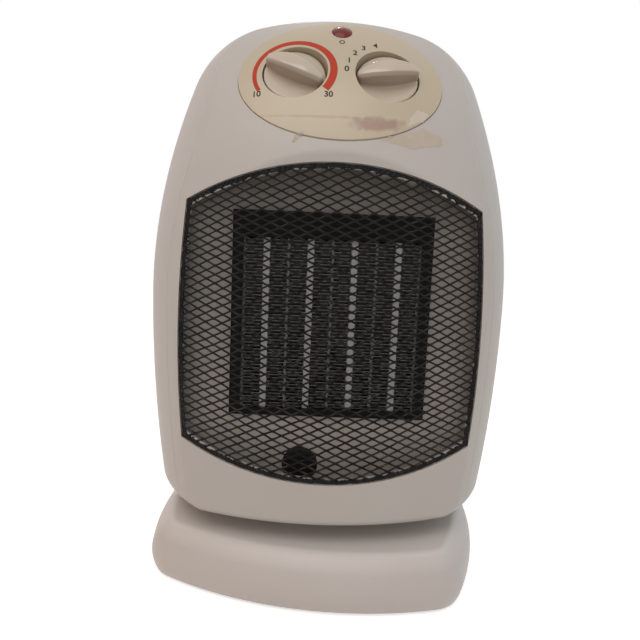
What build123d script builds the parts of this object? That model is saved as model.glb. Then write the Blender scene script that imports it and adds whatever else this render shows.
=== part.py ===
from build123d import *
from math import asin, cos, hypot, radians, sin, sqrt
import os

# Oscillating ceramic space heater, in millimetres.
# +Z is up, the front looks along -Y, and the origin is on the swivel axis, on the surface that it stands on.
# The body is modelled square to the axes, and the base stands turned under it by swing_at_rest degrees.

# Body form
body_width = 186.0
body_front = 76.0
body_back = 74.0
waist_height = 134.0
widest_y = -8.0
wall = 2.8
crease_radius = 3.5
rear_edge_radius = 7.0
rear_side_radius = 195.0
upper_side_radius = 315.0
upper_side_tightening = 185.0
lower_side_radius = 650.0
top_arch_radius = 150.0
top_corner_radius = 46.0
bottom_corner_radius = 9.5

# Front face, seen from the side as two arcs and from above as a bow
bow_radius = 165.0
face_radius = 740.0
face_height = 103.0
brow_height = 194.0
brow_radius = 130.0
crown_rise = 18.3
crown_setback = 46.8
rear_crown_radius = 120.0

# Seam between the front and rear housings
seam_setback = 3.0
seam_gap = 0.3
seam_bend_drop = 9.0
seam_radius = 120.0

# Base and swivel
base_width = 172.0
base_depth = 166.0
base_height = 25.0
base_wall = 2.4
base_flare = 9.0
base_belly = 7.0
base_toe = 2.0
base_rim_radius = 5.0
base_front_radius = 185.0
base_side_radius = 170.0
base_corner_radius = 20.0
swing_at_rest = 8.5
swivel_gap = 10.4
hub_radius = 12.0
platform_radius = 30.0
platform_height = 8.0
retainer_radius = 17.0
retainer_thickness = 2.0
foot_height = 2.0
foot_radius = 7.0
foot_x = 56.0
foot_y = 46.0
plate_thickness = 2.0

# Swing drive
crank_offset = 42.0
crank_radius = 21.0
crank_ratio = 3.3
crank_thickness = 3.0
crank_pin_radius = 2.5
crank_shaft_radius = 3.0
slot_side_room = 1.75
swing_motor_radius = 22.0
swing_motor_height = 18.0

# Grille
grille_edge_band = 3.8
grille_corner_in = 2.5
grille_arch = 16.2
grille_sag = 15.3
chin_height = 20.3
grille_sink = 0.5
grille_thickness = 0.9
grille_ledge = 2.2
grille_hem = 2.6
mesh_long = 15.4
mesh_short = 7.3
mesh_strand = 1.5

# Control panel
knob_lean = 26.0
lens_lean = 37.3
panel_half_width = 45.3
panel_half_height = 32.8
panel_lift = -0.4
panel_proud = 0.6
panel_depth = 2.0
panel_ledge = 4.0
knob_spacing = 40.7
well_radius = 14.5
well_floor_radius = 14.0
well_depth = 7.0
well_wall = 1.6
knob_radius = 13.6
knob_disc = 3.4
knob_height = 11.0
knob_dome_radius = 30.0
knob_edge = 0.8
grip_width = 8.7
grip_side_radius = 39.0
grip_corner_radius = 2.2
grip_edge = 1.8
spindle_radius = 3.0
spindle_reach = 9.0
control_gap = 0.6
control_depth = 15.0
thermostat_width = 26.0
thermostat_height = 22.0
switch_radius = 14.0
lens_radius = 4.5
lens_dome = 1.3
lens_depth = 6.0
lamp_radius = 3.0
lamp_length = 16.0
thermostat_turn = -25.0
selector_turn = 8.0

# Heating element
ptc_width = 92.0
ptc_height = 95.0
ptc_depth = 18.0
ptc_lift = 2.75
ptc_setback = 22.0
ptc_side_bar = 5.0
ptc_top_bar = 12.0
ptc_bottom_bar = 3.5
ptc_flange = 4.0
flange_thickness = 2.0
strip_count = 4
ceramic_thickness = 2.8
plate_sheet = 0.8
core_depth = 14.0
fin_folds = 16
fin_sheet = 0.5
cutoff_radius = 6.0
cutoff_length = 5.0

# Liner, duct and fan
liner_step = 2.0
liner_thickness = 1.6
liner_top = 203.0
liner_lift = 1.0
liner_screw_x = 54.0
liner_screw_drop = 4.0
liner_screw_rise = 2.3
liner_bite = 7.0
strap_bite = 7.0
grommet_x = -11.7
grommet_height = 56.0
grommet_radius = 8.5
grommet_neck = 6.0
grommet_lip = 1.0
grommet_flange = 2.0
duct_flange_over = 1.5
duct_flange_thickness = 4.0
duct_wall = 2.0
duct_room = 1.0
duct_length = 16.4
ring_wall = 2.0
ring_length = 22.0
fan_radius = 44.0
fan_tip_room = 3.0
fan_blades = 7
fan_depth = 17.0
fan_start = 2.0
fan_hub_radius = 14.0
fan_hub_wall = 2.0
fan_hub_face = 4.0
blade_sheet = 1.6
blade_root_chord = 15.0
blade_tip_chord = 24.0
blade_root_pitch = 42.0
blade_tip_pitch = 24.0

# Fan motor
strap_thickness = 1.5
strap_width = 16.0
strap_disc_radius = 26.0
motor_gap = 5.0
motor_half_width = 24.0
motor_above = 22.0
motor_below = 42.0
motor_stack = 14.0
rotor_radius = 12.0
rotor_room = 0.4
motor_shaft_radius = 2.0
bearing_radius = 6.0
bracket_thickness = 1.5
bracket_width = 14.0
motor_screw_x = 19.0
coil_half = 12.0
coil_wrap = 5.0
leg_thickness = 9.0
pole_space = 17.0

# Small pieces and fits
fit = 0.2
slide_fit = 0.05
swivel_room = 0.3
screw_radius = 1.5
screw_head_radius = 3.1
screw_head = 2.2
screw_room = 0.1
boss_radius = 4.5
pillar_lift = 7.8
pillar_bottom_x = (14.0, -30.0)
pillar_top_x = 42.0
pillar_top_rise = 12.0
pillar_bore = 3.4
pillar_web = 6.0
pillar_joint = 5.3
housing_screw_length = 15.0
gland_x = -36.0
gland_rise = 22.6
gland_radius = 6.0
gland_flange_radius = 9.0
gland_flange = 2.0
gland_length = 12.0
cord_bore = 3.6
louvre_length = 44.0
louvre_width = 4.0
louvre_pitch = 8.4
louvre_rows = 12
louvre_gap = 10.0
tip_switch_size = (18.0, 24.0, 26.0)
tip_switch_place = (-52.0, 4.0)
terminal_size = (26.0, 16.0, 14.0)
terminal_place = (-49.0, 40.0)

# Heights and depths that follow from the sizes above
body_bottom = base_height + swivel_gap
floor_top = body_bottom + wall
nose = -(body_front + 1.0)
bow_axis = bow_radius - body_front
brow_angle = asin((brow_height - face_height) / face_radius)
face_centre = (face_radius - body_front, face_height)
brow_start_y = face_centre[0] - face_radius * cos(brow_angle)
brow_centre = (
    brow_start_y + brow_radius * cos(brow_angle),
    brow_height - brow_radius * sin(brow_angle),
)


def brow_point(lean):
    """Depth and height on the brow arc where the front leans back by so many degrees."""
    a = radians(lean)
    return brow_centre[0] - brow_radius * cos(a), brow_centre[1] + brow_radius * sin(a)


knob_y, knob_z = brow_point(knob_lean)
lens_y, lens_z = brow_point(lens_lean)
overall_height = lens_z + crown_rise
crown_y = lens_y + crown_setback
crown_radius = crown_y - nose + 6.0
side_radius = widest_y - nose + 3.0


def circles_meet(c1, r1, c2, r2):
    """The two points where two circles cross."""
    dx, dy = c2[0] - c1[0], c2[1] - c1[1]
    d = hypot(dx, dy)
    a = (r1**2 - r2**2 + d**2) / (2 * d)
    h = sqrt(r1**2 - a**2)
    x, y = c1[0] + a * dx / d, c1[1] + a * dy / d
    return (x + h * dy / d, y - h * dx / d), (x - h * dy / d, y + h * dx / d)


face_drop = face_radius - sqrt(face_radius**2 - (waist_height - face_height) ** 2)
side_centre = (body_width / 2 - side_radius, widest_y)
crease_x, crease_y = max(
    circles_meet((0, bow_axis), bow_radius - face_drop, side_centre, side_radius)
)
seam_y = crease_y + seam_setback
seam_bend = brow_height - seam_bend_drop

grille_top = brow_height
grille_bottom = body_bottom + chin_height
grille_half = crease_x - grille_edge_band
grille_mid = (grille_top + grille_bottom) / 2
fan_z = grille_mid + ptc_lift

ptc_front = -body_front + ptc_setback
liner_y = ptc_front + liner_step
liner_back = liner_y + liner_thickness
duct_back = liner_back + duct_flange_thickness
ring_start = duct_back + duct_length
strap_y = ring_start + duct_wall + ring_length + 1.0
fan_front = ring_start + duct_wall + fan_start
motor_y = strap_y + strap_thickness + motor_gap
joint_y = seam_y + pillar_joint
pillars = [(x, floor_top + pillar_lift) for x in pillar_bottom_x]
pillars += [(side * pillar_top_x, grille_top + pillar_top_rise) for side in (1, -1)]
liner_screws_at = [
    (side * liner_screw_x, z)
    for side in (1, -1)
    for z in (grille_top - liner_screw_drop, grille_bottom + liner_screw_rise)
]


def arc_about(centre, p, q):
    """The short arc about a centre from p to q."""
    mx, my = (p[0] + q[0]) / 2 - centre[0], (p[1] + q[1]) / 2 - centre[1]
    k = hypot(p[0] - centre[0], p[1] - centre[1]) / hypot(mx, my)
    return ThreePointArc(p, (centre[0] + mx * k, centre[1] + my * k), q)


def mirror_x(p):
    return -p[0], p[1]


def front_plane(y):
    """A plane across the body, drawn in X and Z, with its normal to the front."""
    return Plane(origin=(0, y, 0), x_dir=(1, 0, 0), z_dir=(0, -1, 0))


def rod_y(x, z, y0, y1, radius):
    """A round rod along Y."""
    length = abs(y1 - y0)
    base = Plane(origin=(x, min(y0, y1), z), x_dir=(1, 0, 0), z_dir=(0, 1, 0))
    return base * Cylinder(radius, length, align=(Align.CENTER, Align.CENTER, Align.MIN))


def rod_z(x, y, z0, z1, radius):
    """A round rod along Z."""
    low = Align.CENTER, Align.CENTER, Align.MIN
    return Pos(x, y, min(z0, z1)) * Cylinder(radius, abs(z1 - z0), align=low)


def block(x0, x1, y0, y1, z0, z1):
    """A box between two corners."""
    return Pos((x0 + x1) / 2, (y0 + y1) / 2, (z0 + z1) / 2) * Box(x1 - x0, y1 - y0, z1 - z0)


def screw_y(x, z, seat, length):
    """A pan-head screw along Y whose head rests on the plane y = seat, with its shank to the front."""
    head = chamfer(
        rod_y(x, z, seat, seat + screw_head, screw_head_radius).edges().sort_by(Axis.Y)[-1:],
        screw_head * 0.4,
    )
    return head + rod_y(x, z, seat - length, seat, screw_radius)


def half_width(y):
    """Half of the body's width at its waist, at a depth."""
    r = side_radius if y < widest_y else rear_side_radius
    return body_width / 2 - (r - sqrt(r**2 - (y - widest_y) ** 2))


def top_height(y):
    """Height of the body's top at a depth."""
    r = crown_radius if y < crown_y else rear_crown_radius
    return overall_height - (r - sqrt(r**2 - (y - crown_y) ** 2))


def body_section(y, inset):
    """The body's outline seen from the front at a depth: flat foot, bulging sides and an arched top."""
    w = half_width(y) - inset
    low = body_bottom + inset
    forward = max(0.0, (widest_y - y) / (widest_y - nose))
    upper = upper_side_radius - upper_side_tightening * forward - inset
    lower, arch = lower_side_radius - inset, top_arch_radius - inset
    upper_centre = (w - upper, waist_height)
    lower_centre = (w - lower, waist_height)
    arch_centre = (0, top_height(y) - inset - arch)
    shoulder = max(circles_meet(upper_centre, upper, arch_centre, arch), key=lambda p: p[1])
    foot = (w - lower + sqrt(lower**2 - (waist_height - low) ** 2), low)
    waist = (w, waist_height)
    face = make_face(
        [
            Line(mirror_x(foot), foot),
            arc_about(lower_centre, foot, waist),
            arc_about(upper_centre, waist, shoulder),
            arc_about(arch_centre, shoulder, mirror_x(shoulder)),
            arc_about(mirror_x(upper_centre), mirror_x(shoulder), mirror_x(waist)),
            arc_about(mirror_x(lower_centre), mirror_x(waist), mirror_x(foot)),
        ]
    )
    taper = (w / (body_width / 2)) ** 2
    face = fillet(face.vertices().sort_by(Axis.Y)[-2:], (top_corner_radius - inset) * taper)
    face = fillet(face.vertices().sort_by(Axis.Y)[:2], bottom_corner_radius - inset)
    return front_plane(y) * face


def barrel(inset):
    """The bulging body behind its front face, lofted from front to back."""
    back = body_back - inset
    depths = [nose + (widest_y - nose) * k for k in (0, 0.14, 0.33, 0.6, 1)]
    depths += [widest_y + (back - widest_y) * k for k in (0.33, 0.67, 1)]
    return loft([body_section(y, inset) for y in depths])


def nose_solid(inset):
    """Everything behind the front face: its side profile turned about the upright axis of its bow."""
    face, brow = face_radius - inset, brow_radius - inset
    low = asin(-face_height / face_radius)
    high = radians(75)
    centre_f = (bow_axis - face_centre[0], face_centre[1])
    centre_b = (bow_axis - brow_centre[0], brow_centre[1])
    p = (centre_f[0] + face * cos(low), centre_f[1] + face * sin(low))
    q = (centre_f[0] + face * cos(brow_angle), centre_f[1] + face * sin(brow_angle))
    r = (centre_b[0] + brow * cos(high), centre_b[1] + brow * sin(high))
    profile = make_face(
        [
            arc_about(centre_f, p, q),
            arc_about(centre_b, q, r),
            Line(r, (0, r[1])),
            Line((0, r[1]), (0, p[1])),
            Line((0, p[1]), p),
        ]
    )
    side = Plane(origin=(0, bow_axis, 0), x_dir=(-1, 0, 0), z_dir=(0, 1, 0))
    return revolve(side * profile, Axis((0, bow_axis, 0), (0, 0, 1)), revolution_arc=180)


def front_edges(solid):
    """The edges round the outside of the front face."""
    faces = [f for f in solid.faces() if f.geom_type == GeomType.REVOLUTION]

    def uses(edge):
        return sum(edge.is_same(other) for f in faces for other in f.edges())

    return [edge for edge in solid.edges() if uses(edge) == 1]


def body_form(inset):
    return barrel(inset) & nose_solid(inset)


outer_form = body_form(0)
outer_form = fillet(front_edges(outer_form), crease_radius)
outer_form = fillet(outer_form.faces().sort_by(Axis.Y)[-1].edges(), rear_edge_radius)
inner_form = body_form(wall)
shell = outer_form - inner_form


def seam_block(shift):
    """The space in front of the seam, which runs up the sides and bends back over the top."""
    y = seam_y + shift
    bend = (y + seam_radius, seam_bend)
    end = (bend[0], seam_bend + seam_radius)
    front = nose - 5.0
    face = make_face(
        [
            Line((front, 0), (y, 0)),
            Line((y, 0), (y, seam_bend)),
            arc_about(bend, (y, seam_bend), end),
            Line(end, (front, end[1])),
            Line((front, end[1]), (front, 0)),
        ]
    )
    side = Plane(origin=(-body_width, 0, 0), x_dir=(0, 1, 0), z_dir=(1, 0, 0))
    return extrude(side * face, 2 * body_width)


def grille_corners(grow):
    """Half of the grille's outline: top middle, top corner, side middle, bottom corner, bottom middle."""
    corner = grille_half - grille_corner_in + grow
    return (
        (0, grille_top + grow),
        (corner, grille_top - grille_arch + grow),
        (grille_half + grow, grille_mid),
        (corner, grille_bottom + grille_sag - grow),
        (0, grille_bottom - grow),
    )


def grille_face(grow):
    top, upper, side, lower, bottom = grille_corners(grow)
    return make_face(
        [
            ThreePointArc(mirror_x(upper), top, upper),
            ThreePointArc(upper, side, lower),
            ThreePointArc(lower, bottom, mirror_x(lower)),
            ThreePointArc(mirror_x(lower), mirror_x(side), mirror_x(upper)),
        ]
    )


def grille_prism(grow):
    return extrude(front_plane(nose - 5.0) * grille_face(grow), -(abs(nose) + 5.0 - abs(liner_y)))


def chord_circle(p, q):
    """Centre on the axis x = 0 and radius of the arch from its top p to its corner q."""
    rise = p[1] - q[1]
    radius = (q[0] ** 2 + rise**2) / (2 * rise)
    return p[1] - radius, radius


def inside_grille(x, z):
    """Whether a point of the mesh lies inside the hem."""
    top, upper, side, lower, bottom = grille_corners(-grille_hem)
    arch_z, arch_r = chord_circle(top, upper)
    sag_z, sag_r = chord_circle(bottom, lower)
    side_h = upper[1] - side[1]
    side_d = side[0] - upper[0]
    side_r = (side_h**2 + side_d**2) / (2 * side_d)
    return (
        hypot(x, z - arch_z) < abs(arch_r)
        and hypot(x, z - sag_z) < abs(sag_r)
        and hypot(abs(x) - (side[0] - side_r), z - side[1]) < side_r
    )


# Pieces

pieces = {}

panel_plane = Plane(
    origin=(0, knob_y, knob_z),
    x_dir=(1, 0, 0),
    z_dir=(0, -cos(radians(knob_lean)), sin(radians(knob_lean))),
)
lens_plane = Plane(
    origin=(0, lens_y, lens_z),
    x_dir=(1, 0, 0),
    z_dir=(0, -cos(radians(lens_lean)), sin(radians(lens_lean))),
)
knob_sides = {"thermostat": -1, "selector": 1}


def panel_prism(grow):
    oval = Pos(0, panel_lift) * Ellipse(panel_half_width + grow, panel_half_height + grow)
    return extrude(panel_plane * oval, 30.0, both=True)


def on_panel(side, shape):
    """Puts a shape, drawn about Z, on the axis of one of the knobs."""
    return panel_plane * Pos(side * knob_spacing / 2, 0, 0) * shape


def disc(low, high, radius):
    """A cylinder about Z between two heights."""
    return rod_z(0, 0, low, high, radius)


def front_housing():
    housing = shell & seam_block(0)
    rebate = grille_sink + grille_thickness
    housing -= grille_prism(fit) - nose_solid(rebate)
    housing -= grille_prism(-grille_ledge)
    housing -= panel_prism(fit) - nose_solid(panel_depth)
    housing -= panel_prism(-panel_ledge)
    cup = disc(-well_depth - well_wall, well_depth, well_radius + well_wall + 2 * fit)
    housing -= [on_panel(side, cup) for side in knob_sides.values()]
    housing -= lens_plane * disc(-2 * lens_depth, lens_depth, lens_radius + 2 * fit)
    behind = nose_solid(wall / 2)
    ends = [(x, z, liner_y, liner_bite) for x, z in liner_screws_at]
    ends += [(x, z, joint_y, housing_screw_length - pillar_web) for x, z in pillars]
    housing += [rod_y(x, z, nose, end, boss_radius) & behind for x, z, end, bite in ends]
    return housing - [rod_y(x, z, end - bite - 1.0, end, screw_radius + screw_room) for x, z, end, bite in ends]


def louvres():
    """Air slots through the rear wall, in two columns."""
    slots = []
    for row in range(louvre_rows):
        z = fan_z + (row - (louvre_rows - 1) / 2) * louvre_pitch
        for side in (1, -1):
            x = side * (louvre_length + louvre_gap) / 2
            slot = Pos(x, z) * SlotOverall(louvre_length, louvre_width)
            slots.append(extrude(front_plane(body_back + 1.0) * slot, wall + 4.0))
    return slots


def rear_housing():
    housing = shell - seam_block(seam_gap)
    housing += [rod_y(x, z, joint_y, body_back - wall / 2, boss_radius) for x, z in pillars]
    cuts = [rod_y(x, z, joint_y + pillar_web, body_back + 1.0, pillar_bore) for x, z in pillars]
    cuts += [rod_y(x, z, joint_y - 1.0, body_back, screw_radius + screw_room) for x, z in pillars]
    cuts += louvres()
    gland_z = body_bottom + gland_rise
    cuts.append(rod_y(gland_x, gland_z, body_back - 2 * wall, body_back + 1.0, gland_radius + slide_fit))
    cuts.append(rod_z(0, 0, body_bottom - 1.0, floor_top + 1.0, hub_radius + slide_fit))
    cuts.append(rod_z(crank_offset, 0, body_bottom - 1.0, floor_top + 1.0, crank_shaft_radius + 1.0))
    return housing - cuts


def front_grille():
    """Expanded metal: a bowed sheet with staggered diamond openings inside a plain hem."""
    sheet = nose_solid(grille_sink) - nose_solid(grille_sink + grille_thickness)
    sheet &= grille_prism(0)
    half_long = (mesh_long - mesh_strand * 2.2) / 2
    half_short = (mesh_short - mesh_strand) / 2
    columns = int(2 * grille_half / mesh_long) + 1
    rows = int((grille_top - grille_bottom) / mesh_short) + 1
    openings = []
    for row in range(-rows, rows + 1):
        for column in range(-columns, columns + 1):
            x = (column + row % 2 / 2) * mesh_long
            z = grille_mid + row * mesh_short / 2
            tips = [(x - half_long, z), (x, z - half_short), (x + half_long, z), (x, z + half_short)]
            if all(inside_grille(*tip) for tip in tips):
                diamond = make_face(Polyline(*tips, close=True))
                openings.append(extrude(front_plane(nose - 1.0) * diamond, -abs(nose - seam_y)))
    print("grille openings", len(openings))
    return sheet - openings


def control_panel():
    """The oval fascia on the brow, with a round well for each knob and a hole for the lens."""
    panel = (nose_solid(-panel_proud) - nose_solid(panel_depth)) & panel_prism(0)
    for side in knob_sides.values():
        cup = disc(-well_depth - well_wall, 3.0, well_radius + well_wall)
        panel += on_panel(side, cup) & nose_solid(-panel_proud)
    for side in knob_sides.values():
        dish = Pos(0, 0, -well_depth) * Cone(
            well_floor_radius,
            well_radius,
            well_depth,
            align=(Align.CENTER, Align.CENTER, Align.MIN),
        )
        panel -= on_panel(side, dish + disc(-0.5, 8.0, well_radius))
        panel -= on_panel(side, disc(-well_depth - 2 * well_wall, 0, spindle_radius + 1.0))
    return panel - lens_plane * disc(-2 * panel_depth, 5.0, lens_radius + fit)


def knob(side, turn):
    """A low disc with a rounded grip across it, bowed on both sides and domed on top."""
    plate = disc(0, knob_disc, knob_radius)
    plate = fillet(plate.edges().sort_by(Axis.Z)[-1:], knob_edge)
    grip = disc(0, knob_height, knob_radius)
    bow = grip_side_radius - grip_width / 2
    for way in (1, -1):
        grip &= Pos(0, way * bow, 0) * disc(0, knob_height, grip_side_radius)
    grip = fillet(grip.edges().filter_by(Axis.Z), grip_corner_radius)
    grip &= Pos(0, 0, knob_height - knob_dome_radius) * Sphere(knob_dome_radius)
    grip = fillet(grip.edges().filter_by(lambda edge: edge.center().Z > knob_disc), grip_edge)
    body = plate + grip - disc(-1.0, spindle_reach - control_gap, spindle_radius + slide_fit)
    return on_panel(side, Pos(0, 0, control_gap - well_depth) * Rot(0, 0, turn) * body)


def spindle(side):
    """The control's turning shaft, which carries the knob."""
    low = -well_depth - well_wall - control_depth + 2.0
    return on_panel(side, disc(low, spindle_reach - well_depth - 0.5, spindle_radius))


def control_body(side, body):
    """A control under the floor of its well, with a bore for its spindle."""
    top = -well_depth - well_wall
    bore = disc(top - control_depth - 1.0, top + 1.0, spindle_radius + slide_fit)
    return on_panel(side, Pos(0, 0, top) * body - bore)


def thermostat_body():
    size = (thermostat_width, thermostat_height, control_depth)
    case = Box(*size, align=(Align.CENTER, Align.CENTER, Align.MAX))
    return control_body(knob_sides["thermostat"], chamfer(case.edges().filter_by(Axis.Z), 2.0))


def switch_body():
    case = Cylinder(switch_radius, control_depth, align=(Align.CENTER, Align.CENTER, Align.MAX))
    return control_body(knob_sides["selector"], chamfer(case.edges().sort_by(Axis.Z)[:1], 1.5))


def pilot_lens():
    """A red domed lens pushed into the panel."""
    dome_radius = (lens_radius**2 + lens_dome**2) / (2 * lens_dome)
    rim = panel_proud
    profile = make_face(
        [
            Line((0, -lens_depth), (lens_radius, -lens_depth)),
            Line((lens_radius, -lens_depth), (lens_radius, rim)),
            arc_about((0, rim + lens_dome - dome_radius), (lens_radius, rim), (0, rim + lens_dome)),
            Line((0, rim + lens_dome), (0, -lens_depth)),
        ]
    )
    upright = Plane.XZ * profile
    return lens_plane * revolve(upright, Axis.Z)


def neon_lamp():
    """The pilot lamp in its sleeve behind the lens."""
    top = -lens_depth
    sleeve = disc(top - lamp_length, top, lens_radius)
    sleeve -= disc(top - lamp_length + 2.0, top + 1.0, lamp_radius + 0.6)
    bulb = disc(top - lamp_length + 2.0, top - 4.0, lamp_radius)
    bulb = fillet(bulb.edges().sort_by(Axis.Z)[-1:], lamp_radius - 0.2)
    return lens_plane * (sleeve + bulb)


def ptc_window(room):
    """The element's open window as x0, x1, z0, z1."""
    half = ptc_width / 2 - ptc_side_bar - room
    low = fan_z - ptc_height / 2 + ptc_bottom_bar + room
    high = fan_z + ptc_height / 2 - ptc_top_bar - room
    return -half, half, low, high


def ptc_outer(grow):
    """The element's outside as x0, x1, z0, z1."""
    half, tall = ptc_width / 2 + grow, ptc_height / 2 + grow
    return -half, half, fan_z - tall, fan_z + tall


def slab(edges, y0, y1):
    """A box across the body from its edges x0, x1, z0, z1 and two depths."""
    x0, x1, z0, z1 = edges
    return block(x0, x1, y0, y1, z0, z1)


def ptc_frame():
    frame = slab(ptc_outer(0), ptc_front, ptc_front + ptc_depth)
    frame += slab(ptc_outer(ptc_flange), liner_back, liner_back + flange_thickness)
    return frame - slab(ptc_window(0), ptc_front - 1.0, ptc_front + ptc_depth + 1.0)


strip_pitch = 2 * (ptc_width / 2 - ptc_side_bar - plate_sheet / 2) / strip_count
core_y = ptc_front + 1.5


def core_strip(x, thickness):
    """An upright strip of the element at x, as tall as its window."""
    low, high = ptc_window(0)[2:]
    return block(x - thickness / 2, x + thickness / 2, core_y, core_y + core_depth, low, high)


def strip_places():
    return [(i - (strip_count - 1) / 2) * strip_pitch for i in range(strip_count)]


def ptc_ceramics():
    return Compound(children=[core_strip(x, ceramic_thickness) for x in strip_places()])


def ptc_plates():
    places = [(i - strip_count / 2) * strip_pitch for i in range(strip_count + 1)]
    return Compound(children=[core_strip(x, plate_sheet) for x in places])


def fin(x0, x1):
    """A corrugated strip between two upright faces."""
    low, high = ptc_window(0)[2:]
    step = (high - low) / fin_folds
    right = [((x0 + fin_sheet, x1)[i % 2], low + i * step) for i in range(fin_folds + 1)]
    left = [(x - fin_sheet, z) for x, z in reversed(right)]
    face = make_face(Polyline(*right, *left, close=True))
    return extrude(front_plane(core_y) * face, -core_depth)


def ptc_fins():
    fins = []
    for x in strip_places():
        near = ceramic_thickness / 2
        far = strip_pitch / 2 - plate_sheet / 2
        fins.append(fin(x + near, x + far))
        fins.append(fin(x - far, x - near))
    return Compound(children=fins)


def thermal_cutoff():
    """A disc cut-out clipped to the back of the element's top bar."""
    z = fan_z + ptc_height / 2 - ptc_top_bar / 2
    back = ptc_front + ptc_depth
    return rod_y(0, z, back, back + cutoff_length, cutoff_radius) + rod_y(
        0, z, back + cutoff_length, back + cutoff_length + 2.0, cutoff_radius / 2
    )


def liner_plate():
    """The plate behind the grille that closes the space round the element."""
    front, back = liner_y - 1.0, liner_back + 1.0
    plate = extrude(body_section(liner_y, wall + fit), -liner_thickness)
    plate &= block(-body_width, body_width, front, back, floor_top + liner_lift, liner_top)
    plate -= slab(ptc_outer(fit), front, back)
    cuts = [rod_y(x, z, front, back, boss_radius + fit) for x, z in pillars]
    cuts += [rod_y(x, z, front, back, screw_radius + screw_room) for x, z in liner_screws_at]
    cuts.append(rod_y(grommet_x, grommet_height, front, back, grommet_neck + slide_fit))
    return plate - cuts


def wire_grommet():
    """A black rubber plug through the liner, flanged on both sides."""
    neck = rod_y(grommet_x, grommet_height, liner_y, liner_back, grommet_neck)
    front = rod_y(grommet_x, grommet_height, liner_y - grommet_flange, liner_y, grommet_radius)
    front = chamfer(front.edges().sort_by(Axis.Y)[:1], grommet_flange * 0.6)
    back = rod_y(grommet_x, grommet_height, liner_back, liner_back + grommet_flange, grommet_neck + grommet_lip)
    return neck + front + back


def fan_duct():
    """Flange, square skirt round the element, and the round throat of the fan."""
    half = liner_screw_x + boss_radius + duct_flange_over
    low, high = (f(z for x, z in liner_screws_at) for f in (min, max))
    over = boss_radius + duct_flange_over
    duct = block(-half, half, liner_back, duct_back, low - over, high + over)
    duct = fillet(duct.edges().filter_by(Axis.Y), over)
    duct += slab(ptc_outer(duct_room + duct_wall), liner_back, ring_start + duct_wall)
    ends = strap_ends()
    ear = strap_width / 2
    duct += block(-ear, ear, ring_start, ring_start + duct_wall, ends[0] - ear, ends[1] + ear)
    duct += [rod_y(0, z, ring_start, strap_y, boss_radius) for z in ends]
    throat = fan_radius + fan_tip_room
    duct += rod_y(0, fan_z, ring_start, ring_start + duct_wall + ring_length, throat + ring_wall)
    cuts = [slab(ptc_outer(ptc_flange + fit), liner_back - 1.0, liner_back + flange_thickness)]
    cuts.append(slab(ptc_outer(duct_room), liner_back - 1.0, ring_start))
    cuts.append(rod_y(0, fan_z, ring_start - 1.0, ring_start + duct_wall + ring_length + 1.0, throat))
    hole = screw_radius + screw_room
    cuts += [rod_y(0, z, strap_y - strap_bite - 1.0, strap_y + 1.0, hole) for z in ends]
    cuts += [rod_y(x, z, liner_back - 1.0, duct_back + 1.0, hole) for x, z in liner_screws_at]
    wires = grommet_neck + grommet_lip + 2 * fit
    cuts.append(rod_y(grommet_x, grommet_height, liner_back - 1.0, duct_back + 1.0, wires))
    return duct - cuts


def strap_ends():
    """Heights of the two posts that carry the motor's strap, clear of the throat."""
    reach = fan_radius + fan_tip_room + ring_wall + boss_radius + 1.0
    return fan_z - reach, fan_z + reach


def blade():
    """One fan blade: a thin strip that flattens from its root to its tip."""

    def slice_at(radius, chord, pitch):
        strip = Rectangle(chord, blade_sheet)
        return Pos(0, 0, radius) * Rot(0, 0, pitch) * strip

    root = slice_at(fan_hub_radius - 1.5, blade_root_chord, blade_root_pitch)
    tip = slice_at(fan_radius, blade_tip_chord, blade_tip_pitch)
    return loft([root, tip])


def fan_impeller():
    """Axial fan: a cupped hub with pitched blades, turning about Y."""
    end = fan_front + fan_depth
    middle = (fan_front + end) / 2
    fan = rod_y(0, fan_z, fan_front, end, fan_hub_radius)
    fan = fillet(fan.edges().sort_by(Axis.Y)[:1], 4.0)
    rim = rod_y(0, fan_z, fan_front, end, fan_radius)
    turns = [360 * i / fan_blades for i in range(fan_blades)]
    fan += [(Pos(0, middle, fan_z) * Rot(0, turn, 0) * blade()) & rim for turn in turns]
    cup = rod_y(0, fan_z, fan_front + fan_hub_face, end + 1.0, fan_hub_radius - fan_hub_wall)
    cup -= rod_y(0, fan_z, fan_front, end + 1.0, motor_shaft_radius + fan_hub_wall)
    return fan - cup - rod_y(0, fan_z, fan_front + 2.0, end + 1.0, motor_shaft_radius + slide_fit)


def motor_strap():
    """The steel strap across the throat that carries the fan motor."""
    low, high = strap_ends()
    half = strap_width / 2
    strap = block(-half, half, strap_y, strap_y + strap_thickness, low - half, high + half)
    strap += rod_y(0, fan_z, strap_y, strap_y + strap_thickness, strap_disc_radius)
    strap -= rod_y(0, fan_z, strap_y - 1.0, motor_y, bearing_radius + fit)
    for z in (low, high):
        strap -= rod_y(0, z, strap_y - 1.0, motor_y, screw_radius + screw_room)
    for side in (1, -1):
        strap -= rod_y(side * motor_screw_x, fan_z, strap_y - 1.0, motor_y, screw_radius + screw_room)
    return strap


def motor_core():
    """The laminated field: a frame with a round bore for the rotor and a window for the coil."""
    low, high = fan_z - motor_below, fan_z + motor_above
    y0, y1 = motor_y, motor_y + motor_stack
    core = block(-motor_half_width, motor_half_width, y0, y1, low, high)
    core = fillet(core.edges().filter_by(Axis.Y), 3.0)
    core -= rod_y(0, fan_z, y0 - 1.0, y1 + 1.0, rotor_radius + rotor_room)
    core -= block(
        -coil_half - coil_wrap / 2,
        coil_half + coil_wrap / 2,
        y0 - 1.0,
        y1 + 1.0,
        low + leg_thickness,
        fan_z - pole_space,
    )
    for side in (1, -1):
        core -= rod_y(side * motor_screw_x, fan_z, y0 - 1.0, y1 + 1.0, screw_radius + screw_room)
    return core


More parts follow.
